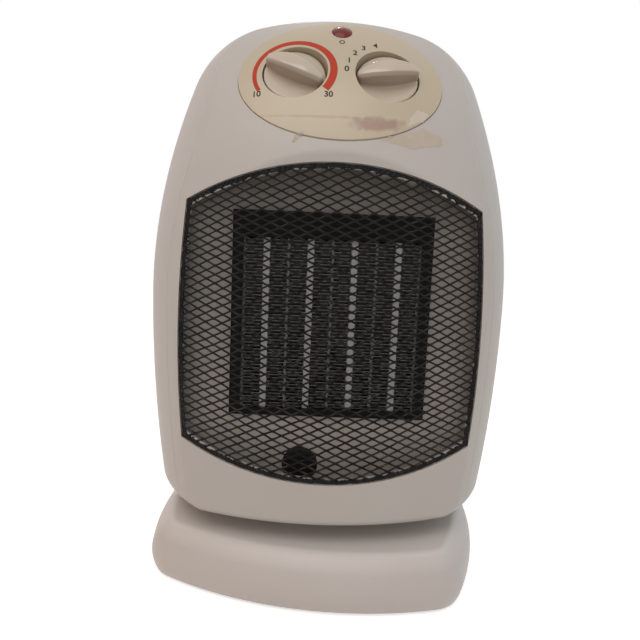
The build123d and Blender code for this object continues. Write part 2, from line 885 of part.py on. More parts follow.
def motor_coil():
    """The wound bobbin round the field's lower leg."""
    low = fan_z - motor_below
    y0, y1 = motor_y, motor_y + motor_stack
    coil = block(
        -coil_half,
        coil_half,
        y0 - coil_wrap + 0.8,
        y1 + coil_wrap - 0.8,
        low - coil_wrap,
        low + leg_thickness + coil_wrap,
    )
    coil = fillet(coil.edges().filter_by(Axis.X), 3.0)
    reach = coil_half + 1.0
    return coil - block(-reach, reach, y0 - fit, y1 + fit, low - fit, low + leg_thickness + fit)


def bearing_bracket(y0, out):
    """A cross strip on one face of the field, with a bearing boss that points outward."""
    y1 = y0 + out * bracket_thickness
    boss_end = y1 + out * (motor_gap - bracket_thickness + strap_thickness)
    reach = motor_screw_x + bracket_width / 2
    half = bracket_width / 2
    strip = block(-reach, reach, min(y0, y1), max(y0, y1), fan_z - half, fan_z + half)
    strip = fillet(strip.edges().filter_by(Axis.Y), half - 0.5)
    strip += rod_y(0, fan_z, y0, boss_end, bearing_radius)
    strip -= rod_y(0, fan_z, y0 - out, boss_end + out, motor_shaft_radius + slide_fit)
    for side in (1, -1):
        strip -= rod_y(side * motor_screw_x, fan_z, y0 - out, y1 + out, screw_radius + screw_room)
    return strip


def motor_sleeves():
    """Spacers between the strap and the field."""
    y0, y1 = strap_y + strap_thickness, motor_y - bracket_thickness
    sleeves = []
    for side in (1, -1):
        outside = rod_y(side * motor_screw_x, fan_z, y0, y1, screw_head_radius)
        sleeves.append(outside - rod_y(side * motor_screw_x, fan_z, y0 - 1, y1 + 1, screw_radius + screw_room))
    return Compound(children=sleeves)


def motor_rotor():
    """The rotor on its shaft, which carries the fan."""
    front = fan_front + 2.5
    back = motor_y + motor_stack + motor_gap + strap_thickness + 1.5
    shaft = rod_y(0, fan_z, front, back, motor_shaft_radius)
    return shaft + rod_y(0, fan_z, motor_y + 0.5, motor_y + motor_stack - 0.5, rotor_radius)


def motor_screws():
    seat = motor_y + motor_stack + bracket_thickness
    return Compound(children=[screw_y(s * motor_screw_x, fan_z, seat, seat - strap_y + 1.0) for s in (1, -1)])


def strap_screws():
    seat = strap_y + strap_thickness
    return Compound(children=[screw_y(0, z, seat, strap_thickness + strap_bite) for z in strap_ends()])


def liner_screws():
    length = duct_back - liner_y + liner_bite
    return Compound(children=[screw_y(x, z, duct_back, length) for x, z in liner_screws_at])


def housing_screws():
    seat = joint_y + pillar_web
    return Compound(children=[screw_y(x, z, seat, housing_screw_length) for x, z in pillars])


def cord_gland():
    """The bush in the rear wall where the mains lead goes in."""
    z = body_bottom + gland_rise
    bush = rod_y(gland_x, z, body_back - gland_length, body_back, gland_radius)
    flange = rod_y(gland_x, z, body_back, body_back + gland_flange, gland_flange_radius)
    bush += chamfer(flange.edges().sort_by(Axis.Y)[-1:], gland_flange * 0.5)
    bush += rod_y(gland_x, z, body_back - wall - fit - gland_flange, body_back - wall - fit, gland_radius + 1.2)
    return bush - rod_y(gland_x, z, body_back - gland_length - 1.0, body_back + gland_flange + 1.0, cord_bore)


def floor_box(place, size):
    """A small case standing on the body's floor."""
    x, y = place
    low = Align.CENTER, Align.CENTER, Align.MIN
    return Pos(x, y, floor_top) * fillet(Box(*size, align=low).edges().filter_by(Axis.Z), 2.0)


def terminal_block():
    case = floor_box(terminal_place, terminal_size)
    x, y = terminal_place
    top = floor_top + terminal_size[2]
    ways = 4
    pitch = terminal_size[0] / ways
    for i in range(ways):
        case -= rod_z(x + (i - (ways - 1) / 2) * pitch, y, top - 6.0, top + 1.0, 2.4)
    return case


def swing_motor():
    """The slow geared motor on the floor that swings the body, with its mounting ears."""
    can = rod_z(crank_offset, 0, floor_top, floor_top + swing_motor_height, swing_motor_radius)
    can = chamfer(can.edges().sort_by(Axis.Z)[-1:], 1.5)
    reach = swing_motor_radius + 6.0
    ears = block(crank_offset - 5.0, crank_offset + 5.0, -reach, reach, floor_top, floor_top + 2.0)
    motor = can + ears
    for ear_y in (reach - 3.0, 3.0 - reach):
        motor -= rod_z(crank_offset, ear_y, floor_top - 1.0, floor_top + 3.0, screw_radius + screw_room)
    return motor - rod_z(crank_offset, 0, floor_top - 1.0, floor_top + 10.0, crank_shaft_radius + slide_fit)


crank_turn = -crank_ratio * swing_at_rest
crank_top = body_bottom - 2.0


def swing_crank():
    """The crank below the floor: its pin rides in the slot of the base."""
    low = crank_top - crank_thickness
    pin_low = base_height - base_wall - 3.0
    arm = rod_z(0, 0, low, crank_top, crank_shaft_radius + 3.0)
    arm += rod_z(crank_radius, 0, low, crank_top, crank_pin_radius + 2.0)
    half = crank_pin_radius + 1.0
    arm += block(0, crank_radius, -half, half, low, crank_top)
    arm += rod_z(crank_radius, 0, pin_low, crank_top, crank_pin_radius)
    arm += rod_z(0, 0, low, floor_top + 9.0, crank_shaft_radius)
    return Pos(crank_offset, 0, 0) * Rot(0, 0, crank_turn) * arm


def base_outline(z, inset):
    """The base's plan: two shallow arcs front and back, two at the sides, and round corners."""
    half_x, half_y = base_width / 2 - inset, base_depth / 2 - inset
    front, side = base_front_radius - inset, base_side_radius - inset
    front_centre = (0, front - half_y)
    side_centre_x = half_x - side
    meet = max(circles_meet(front_centre, front, (side_centre_x, 0), side))
    corner = (meet[0], -abs(meet[1]))
    back = (corner[0], -corner[1])
    face = make_face(
        [
            arc_about(front_centre, mirror_x(corner), corner),
            arc_about((side_centre_x, 0), corner, back),
            arc_about((0, -front_centre[1]), back, mirror_x(back)),
            arc_about((-side_centre_x, 0), mirror_x(back), mirror_x(corner)),
        ]
    )
    return Pos(0, 0, z) * fillet(face.vertices(), base_corner_radius - inset)


def base_form(inset):
    """The base's flared body between its foot, its belly and its deck."""
    return loft(
        [
            base_outline(foot_height, inset + base_toe),
            base_outline(foot_height + base_belly, inset),
            base_outline(base_height - inset, inset + base_flare),
        ]
    )


def turn_base(shape):
    """Turns a piece of the base to where it stands under the body."""
    return Rot(0, 0, -swing_at_rest) * shape


base_screws_at = [(sx * (foot_x - 14.0), sy * foot_y) for sx in (1, -1) for sy in (1, -1)]


def base_shell():
    outside = base_form(0)
    outside = fillet(outside.faces().sort_by(Axis.Z)[-1].edges(), base_rim_radius)
    base = outside - base_form(base_wall)
    base += rod_z(0, 0, base_height - base_wall, base_height + platform_height, platform_radius)
    base += rod_z(0, 0, base_height, floor_top + swivel_room, hub_radius)
    base -= rod_z(0, 0, 0, base_height + platform_height - base_wall, platform_radius - base_wall - 14.0)
    base -= rod_z(0, 0, base_height, floor_top + 1.0, screw_radius + 0.5 + screw_room)
    reach_in = hypot(crank_offset, crank_radius) - crank_pin_radius - 6.0
    reach_out = crank_offset + crank_radius + crank_pin_radius + 1.0
    width = 2 * (crank_pin_radius + slot_side_room)
    slot = Pos((reach_in + reach_out) / 2, 0) * SlotOverall(reach_out - reach_in, width)
    base -= Pos(0, 0, base_height - 2 * base_wall) * extrude(slot, 3 * base_wall)
    for x, y in base_screws_at:
        base += rod_z(x, y, foot_height + plate_thickness, base_height - base_wall / 2, boss_radius)
        base -= rod_z(x, y, foot_height, foot_height + plate_thickness + 9.0, screw_radius + screw_room)
    return turn_base(base)


def base_plate():
    """The flat cover that closes the base from below."""
    plate = extrude(base_outline(foot_height, base_toe + base_wall + 2 * fit), plate_thickness)
    for x, y in base_screws_at:
        plate -= rod_z(x, y, 0, base_height, screw_radius + screw_room)
    return turn_base(plate)


def base_feet():
    feet = []
    for sx in (1, -1):
        for sy in (1, -1):
            pad = rod_z(sx * foot_x, sy * foot_y, 0, foot_height, foot_radius)
            feet.append(turn_base(chamfer(pad.edges().sort_by(Axis.Z)[:1], 0.6)))
    return Compound(children=feet)


def base_screws():
    """Countersunk screws, flush in the bottom cover."""
    screws = []
    for x, y in base_screws_at:
        screws.append(turn_base(rod_z(x, y, foot_height, foot_height + plate_thickness + 8.0, screw_radius)))
    return Compound(children=screws)


def glide_ring():
    """The nylon washer that the body turns on."""
    low = base_height + platform_height
    ring = rod_z(0, 0, low, body_bottom - swivel_room, platform_radius - 2.0)
    return ring - rod_z(0, 0, low - 1.0, body_bottom, hub_radius + 1.0)


def swivel_retainer():
    """The steel washer that holds the body down on the hub."""
    low = floor_top + swivel_room
    washer = rod_z(0, 0, low, low + retainer_thickness, retainer_radius)
    return washer - rod_z(0, 0, low - 1.0, low + 4.0, screw_radius + 0.5 + screw_room)


def swivel_screw():
    """The screw through the retainer into the hub, flush with the washer."""
    top = floor_top + swivel_room + retainer_thickness
    return rod_z(0, 0, base_height + 1.0, top, screw_radius + 0.5)


pieces["front_housing"] = front_housing()
pieces["rear_housing"] = rear_housing()
pieces["front_grille"] = front_grille()
pieces["control_panel"] = control_panel()
pieces["thermostat_knob"] = knob(knob_sides["thermostat"], thermostat_turn)
pieces["selector_knob"] = knob(knob_sides["selector"], selector_turn)
pieces["thermostat_spindle"] = spindle(knob_sides["thermostat"])
pieces["selector_spindle"] = spindle(knob_sides["selector"])
pieces["thermostat"] = thermostat_body()
pieces["rotary_switch"] = switch_body()
pieces["pilot_lens"] = pilot_lens()
pieces["neon_lamp"] = neon_lamp()
pieces["liner_plate"] = liner_plate()
pieces["wire_grommet"] = wire_grommet()
pieces["ptc_frame"] = ptc_frame()
pieces["ptc_ceramics"] = ptc_ceramics()
pieces["ptc_plates"] = ptc_plates()
pieces["ptc_fins"] = ptc_fins()
pieces["thermal_cutoff"] = thermal_cutoff()
pieces["fan_duct"] = fan_duct()
pieces["fan_impeller"] = fan_impeller()
pieces["motor_strap"] = motor_strap()
pieces["motor_core"] = motor_core()
pieces["motor_coil"] = motor_coil()
pieces["front_bearing_bracket"] = bearing_bracket(motor_y, -1)
pieces["rear_bearing_bracket"] = bearing_bracket(motor_y + motor_stack, 1)
pieces["motor_sleeves"] = motor_sleeves()
pieces["motor_rotor"] = motor_rotor()
pieces["motor_screws"] = motor_screws()
pieces["strap_screws"] = strap_screws()
pieces["liner_screws"] = liner_screws()
pieces["housing_screws"] = housing_screws()
pieces["cord_gland"] = cord_gland()
pieces["tip_over_switch"] = floor_box(tip_switch_place, tip_switch_size)
pieces["terminal_block"] = terminal_block()
pieces["swing_motor"] = swing_motor()
pieces["swing_crank"] = swing_crank()
pieces["base_shell"] = base_shell()
pieces["base_plate"] = base_plate()
pieces["base_feet"] = base_feet()
pieces["base_screws"] = base_screws()
pieces["glide_ring"] = glide_ring()
pieces["swivel_retainer"] = swivel_retainer()
pieces["swivel_screw"] = swivel_screw()

os.makedirs("parts", exist_ok=True)
for name, shape in pieces.items():
    export_step(shape, f"parts/{name}.step")
print("overall height", round(overall_height, 1), "pieces", len(pieces))
print("knob", round(knob_y, 2), round(knob_z, 2), "fan height", round(fan_z, 2), "seam", round(seam_y, 2))
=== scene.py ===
# %% [markdown]
# # A small ceramic space heater
# The heater is a rounded plastic body on a swivel base, with a bowed black mesh in front of a
# ceramic element and a cream control panel on the brow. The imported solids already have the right
# shapes and sizes, so this lesson keeps them, gives each one a finish made from nodes, and models
# only what solids do badly: the fine mesh, the folded fins, the print on the panel and torn paper.

from math import cos, hypot, pi, radians, sin, sqrt

import bpy
import numpy as np
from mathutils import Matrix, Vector
from mathutils.bvhtree import BVHTree


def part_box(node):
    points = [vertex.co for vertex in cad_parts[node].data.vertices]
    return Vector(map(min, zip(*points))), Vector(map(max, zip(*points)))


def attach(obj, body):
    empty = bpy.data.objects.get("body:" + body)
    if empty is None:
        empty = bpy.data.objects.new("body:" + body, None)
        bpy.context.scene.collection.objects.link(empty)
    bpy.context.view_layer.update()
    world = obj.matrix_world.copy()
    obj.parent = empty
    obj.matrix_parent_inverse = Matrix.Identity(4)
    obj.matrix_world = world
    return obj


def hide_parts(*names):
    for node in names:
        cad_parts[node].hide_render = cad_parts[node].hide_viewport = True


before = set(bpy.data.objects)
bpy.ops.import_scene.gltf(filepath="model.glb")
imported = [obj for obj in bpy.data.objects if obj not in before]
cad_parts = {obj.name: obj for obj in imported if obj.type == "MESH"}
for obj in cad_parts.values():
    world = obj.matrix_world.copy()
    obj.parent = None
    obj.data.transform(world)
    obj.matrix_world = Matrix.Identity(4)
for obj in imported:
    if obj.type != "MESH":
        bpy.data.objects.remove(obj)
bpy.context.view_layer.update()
MM = 0.001
scene = bpy.context.scene
scene.view_settings.view_transform = "Standard"

# %% [markdown]
# ## The camera
# The photograph was taken from close to the grille, with a wide lens and rolled a little. Its place
# and angles could be set by eye. They were worked out from the corners of the grille, the element and
# the knobs instead, so that the solids fall within a few pixels of what it shows.

# %% The camera
camera = bpy.data.cameras.new("photo_camera")
camera.sensor_width = 36.0
camera.lens = 27.0
camera.clip_start = 0.01
camera_stand = bpy.data.objects.new("photo_camera", camera)
camera_stand.location = (-0.00992, -0.27555, 0.14836)
camera_stand.rotation_euler = [radians(angle) for angle in (84.259, -2.413, -1.099)]
scene.collection.objects.link(camera_stand)
scene.camera = camera_stand
print("camera", tuple(round(x, 4) for x in camera_stand.location), "lens", camera.lens)

# %% [markdown]
# ## Nodes for the finishes
# Every finish is a small graph of nodes. A few helpers are enough: one turns a colour as a painter
# writes it, an sRGB hex value, into the linear light that a renderer works in, and one adds a node,
# fills in its settings and links it to the nodes before it. Three more start a new finish, open a
# finished one again to put dust, stains, painted light or painted shade on it, and put a finish on solids.


# %% Colour and node helpers
def colour(code):
    """An sRGB hex value as linear red, green, blue and alpha."""
    parts = [int(code[i : i + 2], 16) / 255 for i in (1, 3, 5)]
    return [p / 12.92 if p <= 0.04045 else ((p + 0.055) / 1.055) ** 2.4 for p in parts] + [1.0]


def add(tree, kind, inputs=None, **settings):
    """Adds one node, with its settings, and with each input set to a value or linked to a socket."""
    node = tree.nodes.new(kind)
    for key, value in settings.items():
        setattr(node, key, value)
    for key, value in (inputs or {}).items():
        if isinstance(value, bpy.types.NodeSocket):
            tree.links.new(value, node.inputs[key])
        else:
            node.inputs[key].default_value = value
    return node


print("mid grey is", [round(c, 3) for c in colour("#808080")[:3]])


# %% Starting a finish and opening it again
def new_finish(name):
    """A new material, with its tree, its shader and a socket that gives the place in metres."""
    material = bpy.data.materials.new(name)
    material.use_nodes = True
    tree = material.node_tree
    place = add(tree, "ShaderNodeTexCoord").outputs["Object"]
    return material, tree, tree.nodes["Principled BSDF"], place


def reopen(material):
    """The tree of a finish, its shader, its coordinates and the socket that colours it so far."""
    tree = material.node_tree
    shader = tree.nodes["Principled BSDF"]
    coordinates = next(node for node in tree.nodes if node.type == "TEX_COORD")
    return tree, shader, coordinates.outputs, shader.inputs["Base Color"].links[0].from_socket


def dress(material, *nodes):
    """Puts a finish on solids, in every one of their material slots."""
    for name in nodes:
        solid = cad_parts[name].data
        solid.materials.clear()
        solid.materials.append(material)


print("solids to dress", len(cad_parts))

# %% [markdown]
# ## Floor and light
# The heater stands on a plain white floor that runs back to a white surround, so the background is
# white and the floor keeps a soft shadow. The surround gives most of the light, brighter from the
# front than from the back and a little warmer from the left, as in a room with a window and a lamp.
# Rays from the camera and from glossy or clear surfaces see it as plain white. A wide lamp above the
# camera adds direction, and a small bulb under the ceiling puts glints on the knobs.


# %% The surround
def seen_directly(tree):
    """A socket that is 1 for rays from the camera and from glossy or clear surfaces, and else 0."""
    ray = add(tree, "ShaderNodeLightPath").outputs
    seen = ray["Is Camera Ray"]
    for kind in ("Is Glossy Ray", "Is Transmission Ray"):
        seen = add(tree, "ShaderNodeMath", {0: seen, 1: ray[kind]}, operation="MAXIMUM").outputs[0]
    return seen


FRONT_LEVEL, BACK_LEVEL = 0.95, 0.46
WARM_LEFT, COOL_RIGHT = colour("#FFDAC6"), colour("#EBF6FF")
world = bpy.data.worlds.new("room")
scene.world = world
world.use_nodes = True
sky = world.node_tree
way = add(sky, "ShaderNodeSeparateXYZ", {"Vector": add(sky, "ShaderNodeTexCoord").outputs["Generated"]})
levels = {"From Min": -1.0, "From Max": 0.0, "To Min": FRONT_LEVEL, "To Max": BACK_LEVEL}
level = add(sky, "ShaderNodeMapRange", {"Value": way.outputs["Y"], **levels})
side = add(sky, "ShaderNodeMapRange", {"Value": way.outputs["X"], "From Min": -0.9, "From Max": 0.9})
tint = add(sky, "ShaderNodeMix", {0: side.outputs[0], 6: WARM_LEFT, 7: COOL_RIGHT}, data_type="RGBA")
room_light = add(sky, "ShaderNodeBackground", {"Color": tint.outputs[2], "Strength": level.outputs[0]})
white_light = add(sky, "ShaderNodeBackground", {"Color": (1, 1, 1, 1), "Strength": 1.0})
lights = {0: seen_directly(sky), 1: room_light.outputs[0], 2: white_light.outputs[0]}
both = add(sky, "ShaderNodeMixShader", lights)
sky.links.new(both.outputs[0], sky.nodes["World Output"].inputs["Surface"])
print("surround", world.name, "from", FRONT_LEVEL, "in front to", BACK_LEVEL, "behind")

# %% The floor
FLOOR_REACH, FIBRE, FLOOR_GLOW = 9.0, 3.0, 0.6
DULL_WHITE, CLEAR_WHITE = colour("#F2F1EF"), colour("#F8F7F5")
floor_mesh = bpy.data.meshes.new("floor")
floor_corners = [(x * FLOOR_REACH, y * FLOOR_REACH, 0) for x, y in ((-1, -1), (1, -1), (1, 1), (-1, 1))]
floor_mesh.from_pydata(floor_corners, [], [(0, 1, 2, 3)])
floor = bpy.data.objects.new("floor", floor_mesh)
scene.collection.objects.link(floor)
paper, tree, shader, place = new_finish("white_paper_floor")
fibre = add(tree, "ShaderNodeTexNoise", {"Vector": place, "Scale": 1 / (FIBRE * MM), "Detail": 3.0})
white = add(tree, "ShaderNodeMix", {0: fibre.outputs["Fac"], 6: DULL_WHITE, 7: CLEAR_WHITE}, data_type="RGBA")
tree.links.new(white.outputs[2], shader.inputs["Base Color"])
shader.inputs["Roughness"].default_value = 0.9
glow = add(tree, "ShaderNodeEmission", {"Color": (1, 1, 1, 1), "Strength": FLOOR_GLOW})
lit = add(tree, "ShaderNodeAddShader", {0: shader.outputs[0], 1: glow.outputs[0]})
mixed = add(tree, "ShaderNodeMixShader", {0: seen_directly(tree), 1: shader.outputs[0], 2: lit.outputs[0]})
tree.links.new(mixed.outputs[0], tree.nodes["Material Output"].inputs["Surface"])
floor_mesh.materials.append(paper)
print("floor", 2 * FLOOR_REACH, "m wide")

# %% The lamps
LAMP_AIM = Vector((0, 0, 0.15))
lamp = bpy.data.lights.new("ceiling_panel", "AREA")
lamp.shape = "RECTANGLE"
lamp.size = 0.9
lamp.size_y = 0.6
lamp.energy = 4.5
lamp.color = colour("#FFFDFA")[:3]
lamp_stand = bpy.data.objects.new("ceiling_panel", lamp)
lamp_stand.location = (-0.2, -0.75, 1.1)
lamp_stand.rotation_euler = (LAMP_AIM - lamp_stand.location).to_track_quat("-Z", "Y").to_euler()
scene.collection.objects.link(lamp_stand)

bulb = bpy.data.lights.new("ceiling_bulb", "AREA")
bulb.shape = "DISK"
bulb.size = 0.05
bulb.energy = 0.8
bulb_stand = bpy.data.objects.new("ceiling_bulb", bulb)
bulb_stand.location = (-0.08, 0.6, 1.2)
scene.collection.objects.link(bulb_stand)
print("lamps", lamp.energy, "W and", bulb.energy, "W")

# %% [markdown]
# ## Moulded plastic
# Body, base, knobs and many parts inside are injection mouldings. ABS comes out of the mould in one
# even colour with a faint cloudiness, and its gloss depends on the mould: a spark-eroded mould
# leaves a fine grain, a polished one a shine. One function makes them all from two close colours,
# the size of the clouds, the size of the grain and the roughness. Real grain is about 0.1 mm, too
# fine for a picture of this size, so it is drawn a few times coarser.

# %% Moulded plastics
ROUGH_SPREAD = 0.06


def moulding(name, pale, dark, clouds, grain, bump, rough, ior=1.53, shine_level=0.5):
    """A moulded plastic: two close colours in clouds, a grain, and a roughness that varies a little."""
    material, tree, shader, place = new_finish(name)
    cloud = add(tree, "ShaderNodeTexNoise", {"Vector": place, "Scale": 1 / (clouds * MM), "Detail": 4.0})
    cloudy = cloud.outputs["Fac"]
    tone = add(tree, "ShaderNodeMix", {0: cloudy, 6: colour(dark), 7: colour(pale)}, data_type="RGBA")
    pits = add(tree, "ShaderNodeTexNoise", {"Vector": place, "Scale": 1 / (grain * MM), "Detail": 2.0})
    depth = {"Height": pits.outputs["Fac"], "Strength": bump, "Distance": grain * MM / 4}
    relief = add(tree, "ShaderNodeBump", depth)
    spread = {"To Min": rough - ROUGH_SPREAD, "To Max": rough + ROUGH_SPREAD}
    shine = add(tree, "ShaderNodeMapRange", {"Value": cloudy, **spread})
    tree.links.new(tone.outputs[2], shader.inputs["Base Color"])
    tree.links.new(relief.outputs[0], shader.inputs["Normal"])
    tree.links.new(shine.outputs[0], shader.inputs["Roughness"])
    shader.inputs["IOR"].default_value = ior
    shader.inputs["Specular IOR Level"].default_value = shine_level
    return material


print("moulded finishes vary in roughness by", ROUGH_SPREAD)

# %% Plain mouldings
# Each row holds the pale and the dark colour, clouds and grain in mm, bump and roughness, then the IOR
# and the specular level where they aren't those of ABS, and last the solids.
plain_mouldings = {
    "glass_filled_black_frame": (
        "#131111", "#0C0B0B", 12, 0.5, 0.25, 0.55, 1.5, 0.12, "ptc_frame fan_duct base_plate",
    ),
    "black_rubber": (
        "#1B1A1A", "#121111", 8, 0.6, 0.3, 0.62, 1.52, 0.25, "wire_grommet base_feet cord_gland",
    ),
    "grey_control_case": (
        "#2C2C2E", "#232325", 10, 0.5, 0.2, 0.45, "thermostat rotary_switch tip_over_switch thermal_cutoff",
    ),
    "white_terminal_moulding": ("#E0DDD2", "#D2CEC2", 9, 0.5, 0.15, 0.42, "terminal_block"),
    "dark_fan_moulding": ("#37373A", "#2D2D30", 14, 0.5, 0.2, 0.4, "fan_impeller"),
    "varnished_laminations": ("#54545A", "#44444A", 5, 0.5, 0.5, 0.45, "motor_core"),
    "yellow_coil_tape": ("#C0993E", "#A88530", 7, 0.8, 0.5, 0.4, "motor_coil"),
    "white_nylon": ("#D8D6CE", "#CBC8BF", 10, 0.5, 0.1, 0.38, "glide_ring swing_crank"),
}
for finish, (*values, nodes) in plain_mouldings.items():
    dress(moulding(finish, *values), *nodes.split())
print("plain mouldings", len(plain_mouldings))

# %% [markdown]
# ## The body and the base
# Body and base are warm light grey ABS that has yellowed and picked up dirt. The clouds are large
# and faint, the grain shows as a soft sheen, and small dark specks are scattered thinly over it. The
# body is darkened towards the floor by painted shade. The base left its mould a little smoother and
# pinker, and its level deck is lightened by painted light against the shadow of the body above. Specks
# could be painted on, but a cell pattern masked by noise scatters them over every side.

# %% Housing plastic with specks and painted shade
SPECK_ROOM, SPECK_PATCH = 14, 30
FLOOR_SHADE_FULL, FLOOR_SHADE_GONE = 55, 190


def aged_housing(name, pale, dark, specks, rough, floor_shade):
    """Housing plastic: wide clouds, dirt specks, and painted shade that darkens it towards the floor."""
    material = moulding(name, pale, dark, clouds=55, grain=0.7, bump=0.16, rough=rough)
    tree, shader, spots, clean = reopen(material)
    place = spots["Object"]
    cells = add(tree, "ShaderNodeTexVoronoi", {"Vector": place, "Scale": 1 / (SPECK_ROOM * MM)}, feature="F1")
    limits = {"From Min": 0.012, "From Max": 0.035, "To Min": 0.5, "To Max": 0.0}
    speck = add(tree, "ShaderNodeMapRange", {"Value": cells.outputs["Distance"], **limits})
    thin = add(tree, "ShaderNodeTexNoise", {"Vector": place, "Scale": 1 / (SPECK_PATCH * MM)})
    some = add(tree, "ShaderNodeMapRange", {"Value": thin.outputs["Fac"], "From Min": 0.55, "From Max": 0.6})
    mark = add(tree, "ShaderNodeMath", {0: speck.outputs[0], 1: some.outputs[0]}, operation="MULTIPLY")
    marked = add(tree, "ShaderNodeMix", {0: mark.outputs[0], 6: clean, 7: colour(specks)}, data_type="RGBA")
    # Painted shade: below about 190 mm the colour is darkened towards a warm grey, most near the floor.
    height = add(tree, "ShaderNodeSeparateXYZ", {"Vector": place}).outputs["Z"]
    limits = {"From Min": FLOOR_SHADE_FULL * MM, "From Max": FLOOR_SHADE_GONE * MM, "To Min": floor_shade, "To Max": 0.0}
    painted_floor_shade = add(tree, "ShaderNodeMapRange", {"Value": height, **limits})
    tones = {0: painted_floor_shade.outputs[0], 6: marked.outputs[2], 7: colour("#8A7D70")}
    floor_shaded = add(tree, "ShaderNodeMix", tones, data_type="RGBA")
    tree.links.new(floor_shaded.outputs[2], shader.inputs["Base Color"])
    return material


housing_finish = aged_housing("grained_abs_housing", "#BAB7B2", "#B0ACA6", "#7C7268", rough=0.46, floor_shade=0.16)
base_finish = aged_housing("smooth_abs_base", "#BEB9B4", "#B5AFA9", "#80756C", rough=0.42, floor_shade=0.0)
dress(housing_finish, "front_housing", "rear_housing")
dress(base_finish, "base_shell")
print("housing finishes", housing_finish.name, "and", base_finish.name)

# %% Painted light on the level deck of the base
LEVEL_FROM, LEVEL_TO = 0.55, 0.98
PAINTED_LIGHT_DECK = colour("#D4D0CB")
# Painted light: faces of the base that face up are lightened towards a pale colour, against the shadow under
# the body.
tree, shader, spots, open_plastic = reopen(base_finish)
facing_up = add(tree, "ShaderNodeSeparateXYZ", {"Vector": spots["Normal"]}).outputs["Z"]
deck_light_mask = add(tree, "ShaderNodeMapRange", {"Value": facing_up, "From Min": LEVEL_FROM, "From Max": LEVEL_TO})
deck_painted_light = add(tree, "ShaderNodeMix", {0: deck_light_mask.outputs[0], 6: open_plastic, 7: PAINTED_LIGHT_DECK}, data_type="RGBA")
tree.links.new(deck_painted_light.outputs[2], shader.inputs["Base Color"])
print("deck of", base_finish.name)

# %% [markdown]
# ## Metals and the ceramic
# The screws, the motor's brackets and the shafts are zinc-plated steel, the contact plates of the
# element are aluminium strip gone dull with heat, and the liner behind the mesh is aluminium sheet
# under a film of dust. Rolled metal shows fine lines along the rolling direction, so the noise is
# stretched. The strips that give the heat are a grey ceramic, pressed and fired.


# %% Rolled metals
def rolled_metal(name, pale, dark, line, stretch, metal, rough):
    """A rolled metal: lines a given width in mm, stretched upright, in colour and in roughness."""
    material, tree, shader, place = new_finish(name)
    along = add(tree, "ShaderNodeMapping", {"Vector": place, "Scale": (1.0, 1.0, 1.0 / stretch)}).outputs[0]
    lines = add(tree, "ShaderNodeTexNoise", {"Vector": along, "Scale": 1 / (line * MM), "Detail": 3.0})
    lined = lines.outputs["Fac"]
    tone = add(tree, "ShaderNodeMix", {0: lined, 6: colour(dark), 7: colour(pale)}, data_type="RGBA")
    shine = add(tree, "ShaderNodeMapRange", {"Value": lined, "To Min": rough - 0.1, "To Max": rough + 0.1})
    tree.links.new(tone.outputs[2], shader.inputs["Base Color"])
    tree.links.new(shine.outputs[0], shader.inputs["Roughness"])
    shader.inputs["Metallic"].default_value = metal
    return material


zinc = rolled_metal("zinc_plated_steel", "#B9B9B7", "#8F8F8E", line=0.8, stretch=3, metal=1.0, rough=0.36)
dress(zinc, "motor_strap", "front_bearing_bracket", "rear_bearing_bracket", "motor_sleeves", "motor_rotor")
dress(zinc, "motor_screws", "strap_screws", "liner_screws", "housing_screws", "base_screws", "swivel_screw")
dress(zinc, "swing_motor", "swivel_retainer", "thermostat_spindle", "selector_spindle")
plate = rolled_metal("dull_aluminium_plate", "#6A6A68", "#555553", line=0.6, stretch=6, metal=0.5, rough=0.5)
dress(plate, "ptc_plates")
liner = rolled_metal("dusty_aluminium_liner", "#C8C3BB", "#B3ADA5", 2.5, 4, metal=0.0, rough=0.62)
dress(liner, "liner_plate")
dress(moulding("grey_barium_ceramic", "#AEAFB4", "#9A9BA0", 3, 0.5, 0.4, 0.6), "ptc_ceramics")
print("metals", zinc.name, plate.name, liner.name)

# %% [markdown]
# ## The red lens and its lamp
# The pilot lens is clear red acrylic over a neon lamp. Seen unlit it is a deep, slightly cloudy red
# with a sharp gloss. It could be clear glass with the lamp showing through, but unlit nothing shows
# there, so it is drawn as a dark red plastic with a clear coat, and the lamp's sleeve behind it as
# pale glass.

# %% Lens and lamp
lens_finish = moulding("red_acrylic_lens", "#7A2728", "#5C1718", 2.0, 0.8, 0.1, 0.22, 1.49, shine_level=0.18)
lens_finish.node_tree.nodes["Principled BSDF"].inputs["Coat Weight"].default_value = 0.1
dress(lens_finish, "pilot_lens")
lamp_glass = moulding("neon_lamp_glass", "#E6D6C6", "#D8C4B0", 3.0, 0.6, 0.05, 0.12, ior=1.5)
lamp_glass.node_tree.nodes["Principled BSDF"].inputs["Transmission Weight"].default_value = 0.5
dress(lamp_glass, "neon_lamp")

# %% [markdown]
# ## The control panel
# The panel is cream ABS in a polished mould, so it is smoother than the body. A sticker once sat
# across its lower right edge: the glue left a brownish pink stain there and a faint streak to the
# left. Each is a mask made of an oval round a point of the panel, broken up by noise, so it needs no
# drawn picture.

# %% The plane of the panel
PANEL_LEAN = radians(26.0)
panel_middle = Vector((0.0, -58.21, 235.0)) * MM
panel_out = Vector((0.0, -cos(PANEL_LEAN), sin(PANEL_LEAN)))
panel_up = Vector((0.0, sin(PANEL_LEAN), cos(PANEL_LEAN)))
panel_right = Vector((1.0, 0.0, 0.0))


def panel_place(right, up):
    """A point of the panel's plane, in mm to the right of and above the middle of the two knobs."""
    return panel_middle + panel_right * right * MM + panel_up * up * MM


print("panel middle in mm", [round(x / MM, 1) for x in panel_middle])

